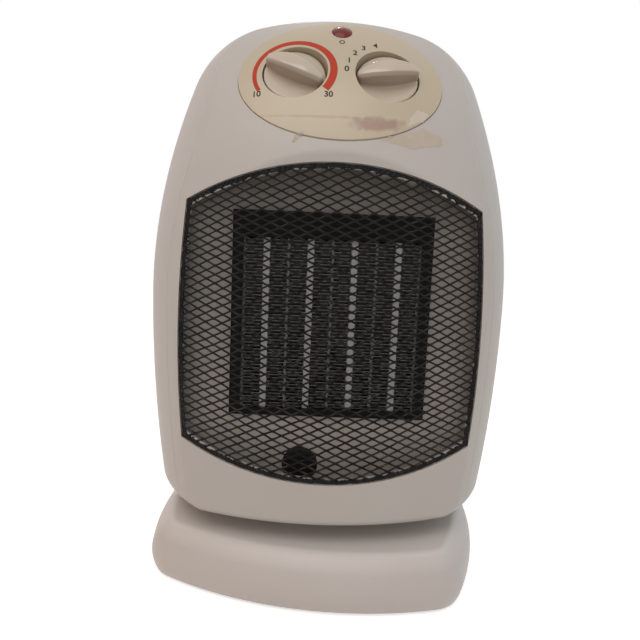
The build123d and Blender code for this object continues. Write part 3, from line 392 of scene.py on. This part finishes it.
# %% Cream panel plastic
TEAR, RAGGED, STAIN_FULL, STAIN_GONE = 3.5, 1.5, 1.3, 1.9
cream = moulding("polished_cream_abs", "#BBB099", "#B1A68E", clouds=30, grain=0.9, bump=0.06, rough=0.36)
tree, shader, spots, surface = reopen(cream)
torn = add(tree, "ShaderNodeTexNoise", {"Vector": spots["Object"], "Scale": 1 / (TEAR * MM), "Detail": 6.0})
for name, right, up, wide, high, stain, strength in (
    ("glue_stain", 14.6, -26.8, 13.0, 3.6, "#96796E", 0.8),
    ("glue_streak", -6.0, -24.4, 30.0, 0.75, "#9C8670", 0.45),
):
    shrink = (1 / (wide * MM), 0.0, 1 / (high * cos(PANEL_LEAN) * MM))
    away = {0: spots["Object"], 1: panel_place(right, up)}
    oval = {0: add(tree, "ShaderNodeVectorMath", away, operation="SUBTRACT").outputs[0], 1: shrink}
    reach = {0: add(tree, "ShaderNodeVectorMath", oval, operation="MULTIPLY").outputs[0]}
    length = add(tree, "ShaderNodeVectorMath", reach, operation="LENGTH").outputs["Value"]
    ragged = {0: torn.outputs["Fac"], 1: RAGGED, 2: length}
    edge = add(tree, "ShaderNodeMath", ragged, operation="MULTIPLY_ADD")
    limits = {"From Min": STAIN_FULL, "From Max": STAIN_GONE, "To Min": strength, "To Max": 0.0}
    mask = add(tree, "ShaderNodeMapRange", {"Value": edge.outputs[0], **limits}, label=name)
    stained = add(tree, "ShaderNodeMix", {0: mask.outputs[0], 6: surface, 7: colour(stain)}, data_type="RGBA")
    surface = stained.outputs[2]
    print(name, "at", right, up, "mm")
tree.links.new(surface, shader.inputs["Base Color"])
dress(cream, "control_panel")

# %% [markdown]
# ## Knobs with painted shade on the grips
# The knobs are glossy off-white ABS. A tan painted shade lies on the flanks of the two grips, while
# their ridges and the round skirts keep the plain colour. The painted shade lies above the skirt, where the
# surface turns away from the panel, so its mask is made of the height over the panel and of the slope.
# That needs no drawn picture, and the painted shade turns with the knob.

# %% Knob plastic and painted shade on the grips
KNOB_SEAT, SKIRT = -6.4, 3.4
SKIRT_TOP = KNOB_SEAT + SKIRT
FLANK_SHADE_FROM, FLANK_SHADE_TO, FLANK_SHADE_STRENGTH = SKIRT_TOP + 0.2, SKIRT_TOP + 1.0, 0.56
TAN_PAINTED_SHADE = colour("#76624C")
knob_finish = moulding("glossy_knob_abs", "#C0B6A5", "#B5AA98", clouds=9, grain=0.9, bump=0.04, rough=0.15)
tree, shader, spots, clean = reopen(knob_finish)
# Painted shade: a tan darkening on the steep flanks of the grips above the skirt.
away = add(tree, "ShaderNodeVectorMath", {0: spots["Object"], 1: panel_middle}, operation="SUBTRACT")
over = add(tree, "ShaderNodeVectorMath", {0: away.outputs[0], 1: panel_out}, operation="DOT_PRODUCT")
limits = {"From Min": FLANK_SHADE_FROM * MM, "From Max": FLANK_SHADE_TO * MM}
raised = add(tree, "ShaderNodeMapRange", {"Value": over.outputs["Value"], **limits})
slope = add(tree, "ShaderNodeVectorMath", {0: spots["Normal"], 1: panel_up}, operation="DOT_PRODUCT")
steep = add(tree, "ShaderNodeMath", {0: slope.outputs["Value"]}, operation="ABSOLUTE")
limits = {"From Min": 0.15, "From Max": 0.5, "To Max": FLANK_SHADE_STRENGTH}
flank = add(tree, "ShaderNodeMapRange", {"Value": steep.outputs[0], **limits})
flank_shade = add(tree, "ShaderNodeMath", {0: raised.outputs[0], 1: flank.outputs[0]}, operation="MULTIPLY")
flank_shaded = add(tree, "ShaderNodeMix", {0: flank_shade.outputs[0], 6: clean, 7: TAN_PAINTED_SHADE}, data_type="RGBA")
tree.links.new(flank_shaded.outputs[2], shader.inputs["Base Color"])
dress(knob_finish, "thermostat_knob", "selector_knob")
print("film from", round(FLANK_SHADE_FROM, 2), "mm of the panel's plane")

# %% [markdown]
# ## The front face as a formula
# The mesh and its hem follow the bowed face of the housing. That face is an upright arc swept about
# an upright axis behind it, so a point on it can be worked out from its place across and up. Points
# could be dropped on to the solid instead, but its window is open just there. The mesh ends where the
# face goes over into the brow, so one arc is enough.

# %% The bowed face
BOW_AXIS, FACE_RADIUS, FACE_HEIGHT = 89.0, 740.0, 103.0
FACE_NOSE = -76.0
NEAR = 0.5


def face_point(across, up, inset):
    """A point of the front face, in mm: across and up as seen from the front, set in by inset."""
    profile = FACE_NOSE + FACE_RADIUS - sqrt(FACE_RADIUS**2 - (up - FACE_HEIGHT) ** 2) + inset
    return np.array((across, BOW_AXIS - sqrt((BOW_AXIS - profile) ** 2 - across**2), up))


def face_normal(across, up):
    """The direction that faces out of the front at that point."""
    east = face_point(across + NEAR, up, 0) - face_point(across - NEAR, up, 0)
    north = face_point(across, up + NEAR, 0) - face_point(across, up - NEAR, 0)
    out = np.cross(east, north)
    return out / np.linalg.norm(out)


grille_low, grille_high = (np.array(corner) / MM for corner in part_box("front_grille"))
grille_half = grille_high[0]
grille_top, grille_bottom = grille_high[2], grille_low[2]
print("grille half width", round(grille_half, 2), "from", round(grille_bottom, 2), "to", round(grille_top, 2))

# %% [markdown]
# ## The outline of the mesh
# Four arcs bound the mesh: a high one on top, two nearly straight ones at the sides and one below.
# Each arc goes through two corners and a middle point. A function says how far inside the outline a
# point is, and the strands are cut off where that runs out. Cutting a finished mesh with a boolean
# would be slower and leave slivers.

# %% The four arcs
CORNER_IN, ARCH, SAG = 2.5, 16.2, 15.3
corner_x = grille_half - CORNER_IN
corner_high, corner_low = grille_top - ARCH, grille_bottom + SAG
grille_middle = (corner_high + corner_low) / 2


def arc_circle(half_chord, rise):
    """The distance of the centre from the chord and the radius of an arc with that rise."""
    radius = (half_chord**2 + rise**2) / (2 * rise)
    return rise - radius, radius


top_drop, top_radius = arc_circle(corner_x, ARCH)
low_drop, low_radius = arc_circle(corner_x, SAG)
side_drop, side_radius = arc_circle((corner_high - corner_low) / 2, CORNER_IN)
top_centre, low_centre, side_centre = corner_high + top_drop, corner_low - low_drop, corner_x + side_drop


def inside(across, up):
    """How far inside the outline a point is, in mm. It is negative outside."""
    return min(
        top_radius - hypot(across, up - top_centre),
        low_radius - hypot(across, up - low_centre),
        side_radius - hypot(abs(across) - side_centre, up - grille_middle),
    )


print("corners at", round(corner_x, 2), "across, from", round(corner_low, 2), "to", round(corner_high, 2))

# %% Points along the outline
ARC_STEPS = 60
top_left, top_right = (-corner_x, corner_high), (corner_x, corner_high)
low_left, low_right = (-corner_x, corner_low), (corner_x, corner_low)
outline = []
for start, end, centre, radius in (
    (top_left, top_right, (0, top_centre), top_radius),
    (top_right, low_right, (side_centre, grille_middle), side_radius),
    (low_right, low_left, (0, low_centre), low_radius),
    (low_left, top_left, (-side_centre, grille_middle), side_radius),
):
    start, end, centre = np.array(start), np.array(end), np.array(centre)
    for step in range(ARC_STEPS):
        ray_out = start + (end - start) * step / ARC_STEPS - centre
        outline.append(centre + ray_out * radius / np.linalg.norm(ray_out))
print("outline points", len(outline))

# %% [markdown]
# ## A dip above the mesh
# The moulding dips a little above the middle of the mesh, a crescent that runs out on both sides. It
# is about a millimetre deep and its edge is soft, so a slope in the finish is enough: a bump whose
# height falls off inside a circle that is tighter than the arch of the mesh. The rear half has the same
# finish, so the dip is kept to the front, above the shoulders of the mesh.


# %% The dip in the housing's finish
def reach_from(tree, place, height):
    """A socket that gives the distance from a point of the middle line, seen square from the front."""
    away = add(tree, "ShaderNodeVectorMath", {0: place, 1: (0.0, 0.0, height * MM)}, operation="SUBTRACT")
    flat = add(tree, "ShaderNodeVectorMath", {0: away.outputs[0], 1: (1.0, 0.0, 1.0)}, operation="MULTIPLY")
    return add(tree, "ShaderNodeVectorMath", {0: flat.outputs[0]}, operation="LENGTH").outputs["Value"]


DIP_RISE, DIP_RADIUS, DIP_SLOPE, DIP_EDGE = 4.6, 82.0, 0.45, 2.0
DIP_LOWEST, DIP_BACK = grille_top - 9.0, -30.0
tree, shader, spots, _ = reopen(housing_finish)
reach = reach_from(tree, spots["Object"], grille_top + DIP_RISE - DIP_RADIUS)
within = add(tree, "ShaderNodeMath", {0: DIP_RADIUS * MM, 1: reach}, operation="SUBTRACT")
soft = add(tree, "ShaderNodeMath", {0: within.outputs[0], 1: 0.0, 2: DIP_EDGE * MM}, operation="SMOOTH_MAX")
fall = add(tree, "ShaderNodeMath", {0: soft.outputs[0], 1: -DIP_SLOPE}, operation="MULTIPLY")
at = add(tree, "ShaderNodeSeparateXYZ", {"Vector": spots["Object"]}).outputs
above = add(tree, "ShaderNodeMath", {0: at["Z"], 1: DIP_LOWEST * MM}, operation="GREATER_THAN")
ahead = add(tree, "ShaderNodeMath", {0: at["Y"], 1: DIP_BACK * MM}, operation="LESS_THAN")
there = add(tree, "ShaderNodeMath", {0: above.outputs[0], 1: ahead.outputs[0]}, operation="MULTIPLY")
dip = add(tree, "ShaderNodeMath", {0: fall.outputs[0], 1: there.outputs[0]}, operation="MULTIPLY")
grain = shader.inputs["Normal"].links[0].from_socket
relief = {"Height": dip.outputs[0], "Strength": 1.0, "Distance": 1.0, "Normal": grain}
sloped = add(tree, "ShaderNodeBump", relief)
tree.links.new(sloped.outputs[0], shader.inputs["Normal"])
print("dip", DIP_RISE, "mm above the mesh")

# %% [markdown]
# ## Painted light and painted shade on the liner
# Dust dulls the liner, and painted shade darkens it towards the top. Painted light makes its arched
# top edge bright, and through the mesh that rim shows as pale openings under the hem. A slope in
# brightness over the height and a ring broken up by noise make both.

# %% Painted light on the liner's rim and painted shade towards its top
RIM_PATCH, RIM_RAGGED, RIM_FROM, RIM_TO = 9, 5.0, 2.6, 4.2
TOP_SHADE_FROM, TOP_SHADE_FULL, TOP_SHADE_LEVEL = 62, 150, 0.61
PAINTED_LIGHT_RIM = colour("#F4F3F1")
tree, shader, spots, dusty = reopen(liner)
place = spots["Object"]
# Painted light: a pale ring along the arched top edge of the liner, broken up by noise.
reach = reach_from(tree, place, top_centre)
patchy = add(tree, "ShaderNodeTexNoise", {"Vector": place, "Scale": 1 / (RIM_PATCH * MM), "Detail": 2.0})
edge = {0: patchy.outputs["Fac"], 1: RIM_RAGGED * MM, 2: reach}
ragged = add(tree, "ShaderNodeMath", edge, operation="MULTIPLY_ADD").outputs[0]
limits = {"From Min": (top_radius + RIM_FROM) * MM, "From Max": (top_radius + RIM_TO) * MM}
rim_light_mask = add(tree, "ShaderNodeMapRange", {"Value": ragged, **limits})
# Painted shade: the liner is darkened towards its top.
height = add(tree, "ShaderNodeSeparateXYZ", {"Vector": place}).outputs["Z"]
limits = {"From Min": TOP_SHADE_FROM * MM, "From Max": TOP_SHADE_FULL * MM, "To Min": 1.0, "To Max": TOP_SHADE_LEVEL}
top_shade = add(tree, "ShaderNodeMapRange", {"Value": height, **limits})
top_shaded = add(tree, "ShaderNodeVectorMath", {0: dusty, "Scale": top_shade.outputs[0]}, operation="SCALE")
rim_painted_light = add(tree, "ShaderNodeMix", {0: rim_light_mask.outputs[0], 6: top_shaded.outputs[0], 7: PAINTED_LIGHT_RIM}, data_type="RGBA")
tree.links.new(rim_painted_light.outputs[2], shader.inputs["Base Color"])
print("rim radius", round(top_radius, 1), "mm")

# %% [markdown]
# ## The expanded-metal mesh
# Expanded metal is a sheet that is slit and pulled open, so each strand is a flat bar that stands
# at a slant, and two strands run together at a bond. The diamonds are 7.9 mm wide and 3.8 mm high. A
# picture with holes would look flat from the side. A bar with four corners for each strand, leaning
# about 35 degrees, gives the glints of the real one. The bars follow the bowed face, differ by some
# hundredths of a millimetre, and stop in the hem.

# %% One bar of the mesh
STRAND, SHEET, MESH_INSET = 0.62, 0.6, 1.05
BAR_FACES = ((0, 1, 2, 3), (7, 6, 5, 4), (0, 4, 5, 1), (1, 5, 6, 2), (2, 6, 7, 3), (3, 7, 4, 0))
random = np.random.default_rng(7)
corners, faces = [], []


def bar(start, end, lean, width, thick):
    """Adds a flat bar between two points of the face, leaning about its own line."""
    run = end - start
    run = run / np.linalg.norm(run)
    out = face_normal((start[0] + end[0]) / 2, (start[2] + end[2]) / 2)
    flat = np.cross(out, run)
    flat = flat / np.linalg.norm(flat)
    wide = (flat * cos(lean) + out * sin(lean)) * width / 2
    deep = (out * cos(lean) - flat * sin(lean)) * thick / 2
    first = len(corners)
    for tip in (start, end):
        corners.extend((tip - wide - deep, tip + wide - deep, tip + wide + deep, tip - wide + deep))
    faces.extend(tuple(first + k for k in face) for face in BAR_FACES)


print("strands", STRAND, "mm wide in a sheet of", SHEET, "mm")

# %% Strands and bonds
DIAMOND_WIDE, DIAMOND_HIGH, WANDER = 7.9, 3.8, 0.08
STRAND_LEAN, BOND_LEAN = radians(35.0), radians(24.0)
BOND_HALF, BOND_WIDE = 0.75, 1.15
HEM_HOLD, CUTS = 0.9, 21


def bond_at(column, row):
    """The place of a bond, a little off its lattice point."""
    shift = random.normal(0.0, WANDER, 2)
    return column * DIAMOND_WIDE / 2 + shift[0], grille_middle + row * DIAMOND_HIGH / 2 + shift[1]


columns = int(grille_half / (DIAMOND_WIDE / 2)) + 2
rows = int((grille_top - grille_bottom) / DIAMOND_HIGH) + 2
bonds = {
    (column, row): bond_at(column, row)
    for column in range(-columns, columns + 1)
    for row in range(-rows, rows + 1)
    if (column + row) % 2 == 0
}
for (column, row), (x, z) in bonds.items():
    for lift in (1, -1):
        if (column + 1, row + lift) not in bonds:
            continue
        x2, z2 = bonds[column + 1, row + lift]
        held = [t for t in np.linspace(0, 1, CUTS) if inside(x + (x2 - x) * t, z + (z2 - z) * t) > HEM_HOLD]
        if len(held) < 2:
            continue
        ends = [face_point(x + (x2 - x) * t, z + (z2 - z) * t, MESH_INSET) for t in (held[0], held[-1])]
        bar(*ends, STRAND_LEAN, STRAND, SHEET)
    if inside(x, z) > HEM_HOLD:
        ends = [face_point(x + shift, z, MESH_INSET) for shift in (-BOND_HALF, BOND_HALF)]
        bar(*ends, BOND_LEAN, BOND_WIDE, SHEET)
print("strands and bonds", len(faces) // len(BAR_FACES))

# %% [markdown]
# ## The hem of the mesh
# The sheet's edge is folded over, and the fold is pressed flat against the ledge of the window. What
# shows is a rough dark border of doubled strands. A narrow bar runs along the outline, its width and
# its place wander a little, and short slanted bars across it are the folded strands. The whole mesh
# is dipped in black paint, and the edges that face up are lightened in patches, partly dust and partly
# painted highlight.

# %% Hem
HEM_BANDS, BAND_WANDER = (1.65, 1.8, 1.6, 1.8), 0.2
HEM_IN, HEM_LEAN, HEM_LAP = 0.2, 0.12, 0.2
FOLD_LEAN, FOLD_WIDE, FOLD_THICK = radians(30.0), 0.62, 0.5
FOLD_IN, FOLD_INSET_LOW, FOLD_INSET_HIGH = 0.5, MESH_INSET - 0.4, MESH_INSET - 0.25
hem_steps = len(outline)
for step in range(hem_steps):
    (x, z), (x2, z2) = outline[step], outline[(step + 1) % hem_steps]
    band = HEM_BANDS[step // ARC_STEPS] + random.normal(0.0, BAND_WANDER)
    along = np.array((x2 - x, z2 - z)) / hypot(x2 - x, z2 - z)
    inward = np.array((along[1], -along[0]))
    middle_in = inward * (band / 2 + HEM_IN + random.uniform(0.0, 0.15))
    start = face_point(x + middle_in[0], z + middle_in[1], MESH_INSET)
    end = face_point(x2 + middle_in[0], z2 + middle_in[1], MESH_INSET)
    bar(start, end + (end - start) * HEM_LAP, random.normal(0.0, HEM_LEAN), band, SHEET)
    slant = along * random.choice((-1.0, 1.0)) * random.uniform(0.7, 1.6)
    low = np.array((x, z)) + inward * FOLD_IN
    high = np.array((x, z)) + inward * (band + random.uniform(0.3, 1.0)) + slant
    ends = face_point(*low, FOLD_INSET_LOW), face_point(*high, FOLD_INSET_HIGH)
    bar(*ends, FOLD_LEAN, FOLD_WIDE, FOLD_THICK)
print("hem bars", 2 * hem_steps)

# %% Black paint, dust and painted highlight
DUST_AND_HIGHLIGHT_PATCH, DUST_AND_HIGHLIGHT = 4, colour("#6E6C6A")
black_paint = moulding("black_dipped_paint", "#141212", "#0B0A0A", 6, 0.7, 0.3, 0.42, 1.5, shine_level=0.16)
tree, shader, spots, paint = reopen(black_paint)
# Dust and painted highlight: faces that face up are lightened in patches towards a pale grey.
facing_up = add(tree, "ShaderNodeSeparateXYZ", {"Vector": spots["Normal"]}).outputs["Z"]
upward = add(tree, "ShaderNodeMapRange", {"Value": facing_up, "From Min": 0.4, "From Max": 0.7})
patches = {"Vector": spots["Object"], "Scale": 1 / (DUST_AND_HIGHLIGHT_PATCH * MM), "Detail": 2.0}
patchy = add(tree, "ShaderNodeTexNoise", patches).outputs["Fac"]
dust_and_highlight_patches = add(tree, "ShaderNodeMapRange", {"Value": patchy, "From Min": 0.4, "From Max": 0.7, "To Max": 0.36})
dusty = add(tree, "ShaderNodeMath", {0: upward.outputs[0], 1: dust_and_highlight_patches.outputs[0]}, operation="MULTIPLY")
dust_and_highlight_painted = add(tree, "ShaderNodeMix", {0: dusty.outputs[0], 6: paint, 7: DUST_AND_HIGHLIGHT}, data_type="RGBA")
tree.links.new(dust_and_highlight_painted.outputs[2], shader.inputs["Base Color"])
dress(black_paint, "front_grille")
print("paint", black_paint.name)

# %% The finished mesh piece
mesh = bpy.data.meshes.new("expanded_mesh")
mesh.from_pydata((np.array(corners) * MM).tolist(), [], faces)
mesh.materials.append(black_paint)
mesh_piece = bpy.data.objects.new("expanded_metal_mesh", mesh)
scene.collection.objects.link(mesh_piece)
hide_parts("front_grille")
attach(mesh_piece, "heater_body")
print("mesh faces", len(mesh.polygons))

# %% [markdown]
# ## The folded fins
# Between the ceramic strips and the contact plates sits a strip of thin aluminium folded to and
# fro in level legs, close as pages, for the air to pass through. In the solids it is coarse. Here
# each leg is its own sheet, bent like two roofs in a row, which is how such fins stir the air and why
# nobody can see through them. The real strip is 0.15 mm thick, and 0.2 mm lets its edge show.

# %% One sheet of a fin
FOLD_PITCH, ROOF, FIN_SHEET = 1.5, 1.9, 0.2
FIN_SET_BACK, FIN_FLOOR, FIN_BENDS = 0.3, 0.2, 5
fins_low, fins_high = (np.array(corner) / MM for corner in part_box("ptc_fins"))
fin_depths = np.linspace(fins_low[1] + FIN_SET_BACK, fins_high[1] - FIN_SET_BACK, FIN_BENDS)
corners, faces = [], []


def fin_sheet(x0, x1, z0, z1):
    """Adds a thin sheet with the given front edge, bent down and up twice on its way in."""
    first = len(corners)
    dip = min(ROOF, z0 - fins_low[2] - FIN_FLOOR)
    for y, rise in zip(fin_depths, (0.0, -dip, 0.0, -dip, 0.0)):
        corners.extend(((x0, y, z0 + rise), (x1, y, z0 + rise), (x1, y, z1 + rise), (x0, y, z1 + rise)))
    back = len(corners) - 4
    faces.append((first, first + 1, first + 2, first + 3))
    faces.append((back + 3, back + 2, back + 1, back))
    for ring in range(first, back, 4):
        for k in range(4):
            after = (k + 1) % 4
            faces.append((ring + k, ring + 4 + k, ring + 4 + after, ring + after))


print("fin depth", round(fins_high[1] - fins_low[1], 1), "mm")

# %% The packs of fins
CERAMIC, PLATE, STRIPS = 2.8, 0.8, 4
FIN_ROOM, LOWEST_LEG, TOP_ROOM, LEG_WANDER = 0.1, 0.5, 0.2, 0.07
plates_low, plates_high = (np.array(corner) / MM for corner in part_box("ptc_plates"))
strip_pitch = (plates_high[0] - plates_low[0] - PLATE) / STRIPS
for strip in range(STRIPS):
    ceramic_x = plates_low[0] + PLATE / 2 + (strip + 0.5) * strip_pitch
    for hand in (-1, 1):
        reaches = CERAMIC / 2 + FIN_ROOM, strip_pitch / 2 - PLATE / 2 - FIN_ROOM
        near, far = sorted(ceramic_x + hand * reach for reach in reaches)
        legs = np.arange(fins_low[2] + LOWEST_LEG, fins_high[2] - FIN_SHEET - TOP_ROOM, FOLD_PITCH)
        legs = legs + random.normal(0.0, LEG_WANDER, len(legs))
        for index, leg in enumerate(legs):
            fin_sheet(near, far, leg, leg + FIN_SHEET)
            if index:
                bend_x = near if index % 2 else far - FIN_SHEET
                fin_sheet(bend_x, bend_x + FIN_SHEET, legs[index - 1] + FIN_SHEET, leg)
print("fin faces", len(faces))

# %% [markdown]
# The strip is cut from bright sheet, and its front edge is lightened, partly the bright cut and partly
# painted highlight, while the legs behind it are dull with heat and dust. The finish turns from one to the
# other within half a millimetre of depth.

# %% Finish of the fins
BRIGHT_TO, DULL_FROM = fin_depths[0] + 0.1, fin_depths[0] + 0.5
CUT_EDGE_AND_HIGHLIGHT = colour("#7C7D7E")
fin_finish = rolled_metal("heat_dulled_aluminium_fins", "#5C5C5B", "#464646", 0.6, 6, metal=0.2, rough=0.6)
tree, shader, spots, dull = reopen(fin_finish)
# Painted highlight, partly the bright cut: the front half millimetre of the fins is lightened.
depth = add(tree, "ShaderNodeSeparateXYZ", {"Vector": spots["Object"]}).outputs["Y"]
limits = {"From Min": BRIGHT_TO * MM, "From Max": DULL_FROM * MM, "To Min": 1.0, "To Max": 0.0}
edge = add(tree, "ShaderNodeMapRange", {"Value": depth, **limits})
edge_highlighted = add(tree, "ShaderNodeMix", {0: edge.outputs[0], 6: dull, 7: CUT_EDGE_AND_HIGHLIGHT}, data_type="RGBA")
tree.links.new(edge_highlighted.outputs[2], shader.inputs["Base Color"])
dress(fin_finish, "ptc_fins")
print("bright edge to y =", round(BRIGHT_TO, 2), "mm")

# %% The finished fins
fin_mesh = bpy.data.meshes.new("folded_fins")
fin_mesh.from_pydata((np.array(corners) * MM).tolist(), [], faces)
fin_mesh.materials.append(fin_finish)
fin_piece = bpy.data.objects.new("folded_fins", fin_mesh)
scene.collection.objects.link(fin_piece)
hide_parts("ptc_fins")
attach(fin_piece, "heater_body")
print("fin mesh faces", len(fin_mesh.polygons))

# %% [markdown]
# ## The print on the panel
# The panel is pad-printed: a red band that grows round the thermostat knob, numbers at its ends and
# round the selector, and a small mark under the lens. Print has no thickness to speak of, so each
# figure is a thin mesh dropped on to the panel along its own normal and lifted a few hundredths of
# a millimetre. A mask in the panel's finish could do the band, but not figures with sharp edges.

# %% Dropping print on to the panel
DROP_FROM, PRINT_LIFT = 25, 0.05


def surface_of(*names):
    """A search tree over the surfaces of solids, for dropping points on to them."""
    points, polygons = [], []
    for name in names:
        first = len(points)
        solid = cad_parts[name].data
        points.extend(v.co.copy() for v in solid.vertices)
        polygons.extend([first + i for i in p.vertices] for p in solid.polygons)
    return BVHTree.FromPolygons(points, polygons)


brow_surface = surface_of("control_panel", "front_housing")


def drop(right, up, lift=PRINT_LIFT):
    """A point of the panel's plane, dropped on to the panel or the brow and lifted by lift, in mm."""
    from_point = panel_place(right, up) + panel_out * DROP_FROM * MM
    hit = brow_surface.ray_cast(from_point, -panel_out)[0]
    return hit + panel_out * lift * MM


print("print lifted by", PRINT_LIFT, "mm")


# %% A figure of the print
def print_piece(name, points, polygons, ink):
    """Makes a figure of the print from points of the panel, and puts it on the body."""
    figure = bpy.data.meshes.new(name)
    figure.from_pydata(points, [], polygons)
    figure.materials.append(ink)
    piece = bpy.data.objects.new(name, figure)
    scene.collection.objects.link(piece)
    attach(piece, "heater_body")
    print(name, "polygons", len(polygons))


red_ink = moulding("red_pad_print", "#B63D24", "#AA341D", 5, 0.5, 0.08, 0.5, ior=1.5, shine_level=0.2)
dark_ink = moulding("dark_pad_print", "#2E2722", "#221C18", 3, 0.4, 0.08, 0.5, ior=1.5, shine_level=0.2)
print("inks", red_ink.name, dark_ink.name)

# %% The red band
KNOB_X = 20.35
BAND_START, BAND_END, BAND_STEPS = 212.0, -37.0, 96
BAND_OUTER, BAND_THIN, BAND_GROWTH = 18.6, 1.7, 1.8
points, polygons = [], []
for step in range(BAND_STEPS + 1):
    share = step / BAND_STEPS
    angle = radians(BAND_START + (BAND_END - BAND_START) * share)
    width = BAND_THIN + BAND_GROWTH * share
    for ring in range(4):
        radius = BAND_OUTER - width * (1 - ring / 3)
        points.append(drop(-KNOB_X + radius * cos(angle), radius * sin(angle)))
    if step:
        row = 4 * step
        polygons.extend((row - 4 + k, row - 3 + k, row + 1 + k, row + k) for k in range(3))
print_piece("heat_band_print", points, polygons, red_ink)

# %% Numbers
INK_SPREAD, BAND_NUMBER, SELECTOR_NUMBER, SELECTOR_REACH = 0.09, 3.9, 4.2, 18.2


def number(name, text, size, right, up):
    """A printed number, centred on a point of the panel."""
    letters = bpy.data.curves.new(name, "FONT")
    letters.body = text
    letters.size = size
    letters.offset = INK_SPREAD
    letters.align_x = letters.align_y = "CENTER"
    carrier = bpy.data.objects.new(name + "_outline", letters)
    scene.collection.objects.link(carrier)
    bpy.context.view_layer.update()
    flat = bpy.data.meshes.new_from_object(carrier.evaluated_get(bpy.context.evaluated_depsgraph_get()))
    bpy.data.objects.remove(carrier)
    points = [drop(right + v.co.x, up + v.co.y) for v in flat.vertices]
    print_piece(name, points, [tuple(p.vertices) for p in flat.polygons], dark_ink)


number("band_low_number", "10", BAND_NUMBER, -36.4, -11.2)
number("band_high_number", "30", BAND_NUMBER, -5.4, -13.0)
for index, angle in enumerate((177.0, 160.5, 143.0, 126.0, 107.0)):
    right = KNOB_X + SELECTOR_REACH * cos(radians(angle))
    up = SELECTOR_REACH * sin(radians(angle))
    number(f"selector_number_{index}", str(index), SELECTOR_NUMBER, right, up)

# %% A ring under the lens
RING_STEPS, RING_INNER, RING_OUTER, RING_UP = 24, 0.8, 1.3, 17.9
points, polygons = [], []
for step in range(RING_STEPS):
    angle = 2 * pi * step / RING_STEPS
    for radius in (RING_INNER, RING_OUTER):
        points.append(drop(radius * cos(angle), RING_UP + radius * sin(angle)))
    k, n = 2 * step, 2 * ((step + 1) % RING_STEPS)
    polygons.append((k, k + 1, n + 1, n))
print_piece("lamp_mark_print", points, polygons, dark_ink)

# %% [markdown]
# ## Torn paper
# Where the sticker was pulled off, three torn scraps of its paper stayed on: a pale one on the panel's
# lower right edge, a yellowed one on the body below it and a very small one across the panel's lower
# edge. Each is a thin ragged sheet, given by a few points of its outline and laid on the brow in the
# same way as the print. Paper is stiff, so it spans the narrow gap round the panel.

# %% Laying paper on the brow
PAPER_LIFT, GAP_REACH, SUNK = 0.06, 0.5, 0.4


def lay(right, up):
    """A point of paper on the brow. Where it would sink into the gap round the panel, it spans the gap."""
    steps = ((0, 0), (GAP_REACH, 0), (-GAP_REACH, 0), (0, GAP_REACH), (0, -GAP_REACH))
    hits = [drop(right + east, up + north, PAPER_LIFT) for east, north in steps]
    sink = max(hit.dot(panel_out) for hit in hits) - hits[0].dot(panel_out)
    return hits[0] + panel_out * (sink if sink > SUNK * MM else 0.0)


print("paper lifted by", PAPER_LIFT, "mm")

# %% Paper scraps
TIP_STEPS, PAPER_RINGS, FRAY = 8, 6, 0.16


def scrap(name, tips, paper):
    """A torn scrap with the given outline on the panel's plane, its edge roughened."""
    tips = np.array(tips)
    middle = tips.mean(axis=0)
    edge = []
    for tip, after in zip(tips, np.roll(tips, -1, axis=0)):
        edge.extend(tip + (after - tip) * k / TIP_STEPS for k in range(TIP_STEPS))
    edge = np.array(edge) + random.normal(0.0, FRAY, (len(edge), 2))
    count = len(edge)
    points = [lay(*middle)]
    for ring in range(1, PAPER_RINGS + 1):
        points.extend(lay(*(middle + (spot - middle) * ring / PAPER_RINGS)) for spot in edge)
    polygons = []
    for step in range(count):
        after = (step + 1) % count
        polygons.append((0, 1 + after, 1 + step))
        for ring in range(PAPER_RINGS - 1):
            a, b = 1 + ring * count, 1 + (ring + 1) * count
            polygons.append((a + step, a + after, b + after, b + step))
    print_piece(name, points, polygons, paper)


pale_paper = moulding("torn_pale_paper", "#C9C2B6", "#BCB3A5", clouds=4, grain=0.8, bump=0.4, rough=0.7)
yellow_paper = moulding("torn_yellowed_paper", "#BBB2A5", "#AEA393", clouds=4, grain=0.8, bump=0.4, rough=0.7)
panel_tips = ((29.8, -20.3), (33.1, -15.8), (38.0, -16.4), (38.4, -17.9), (35.7, -20.6), (28.9, -24.6))
body_tips = (
    (16.9, -31.5), (27.2, -27.6), (36.5, -23.4), (44.8, -25.4),
    (44.5, -29.4), (37.2, -31.4), (32.0, -33.4), (24.4, -32.6),
)
edge_tips = (
    (-19.9, -34.3), (-19.5, -32.5), (-18.3, -30.6), (-15.3, -30.1),
    (-15.4, -30.9), (-16.7, -32.2), (-18.2, -33.6),
)
scrap("sticker_scrap_on_panel", panel_tips, pale_paper)
scrap("sticker_scrap_on_body", body_tips, yellow_paper)
scrap("sticker_scrap_at_edge", edge_tips, yellow_paper)
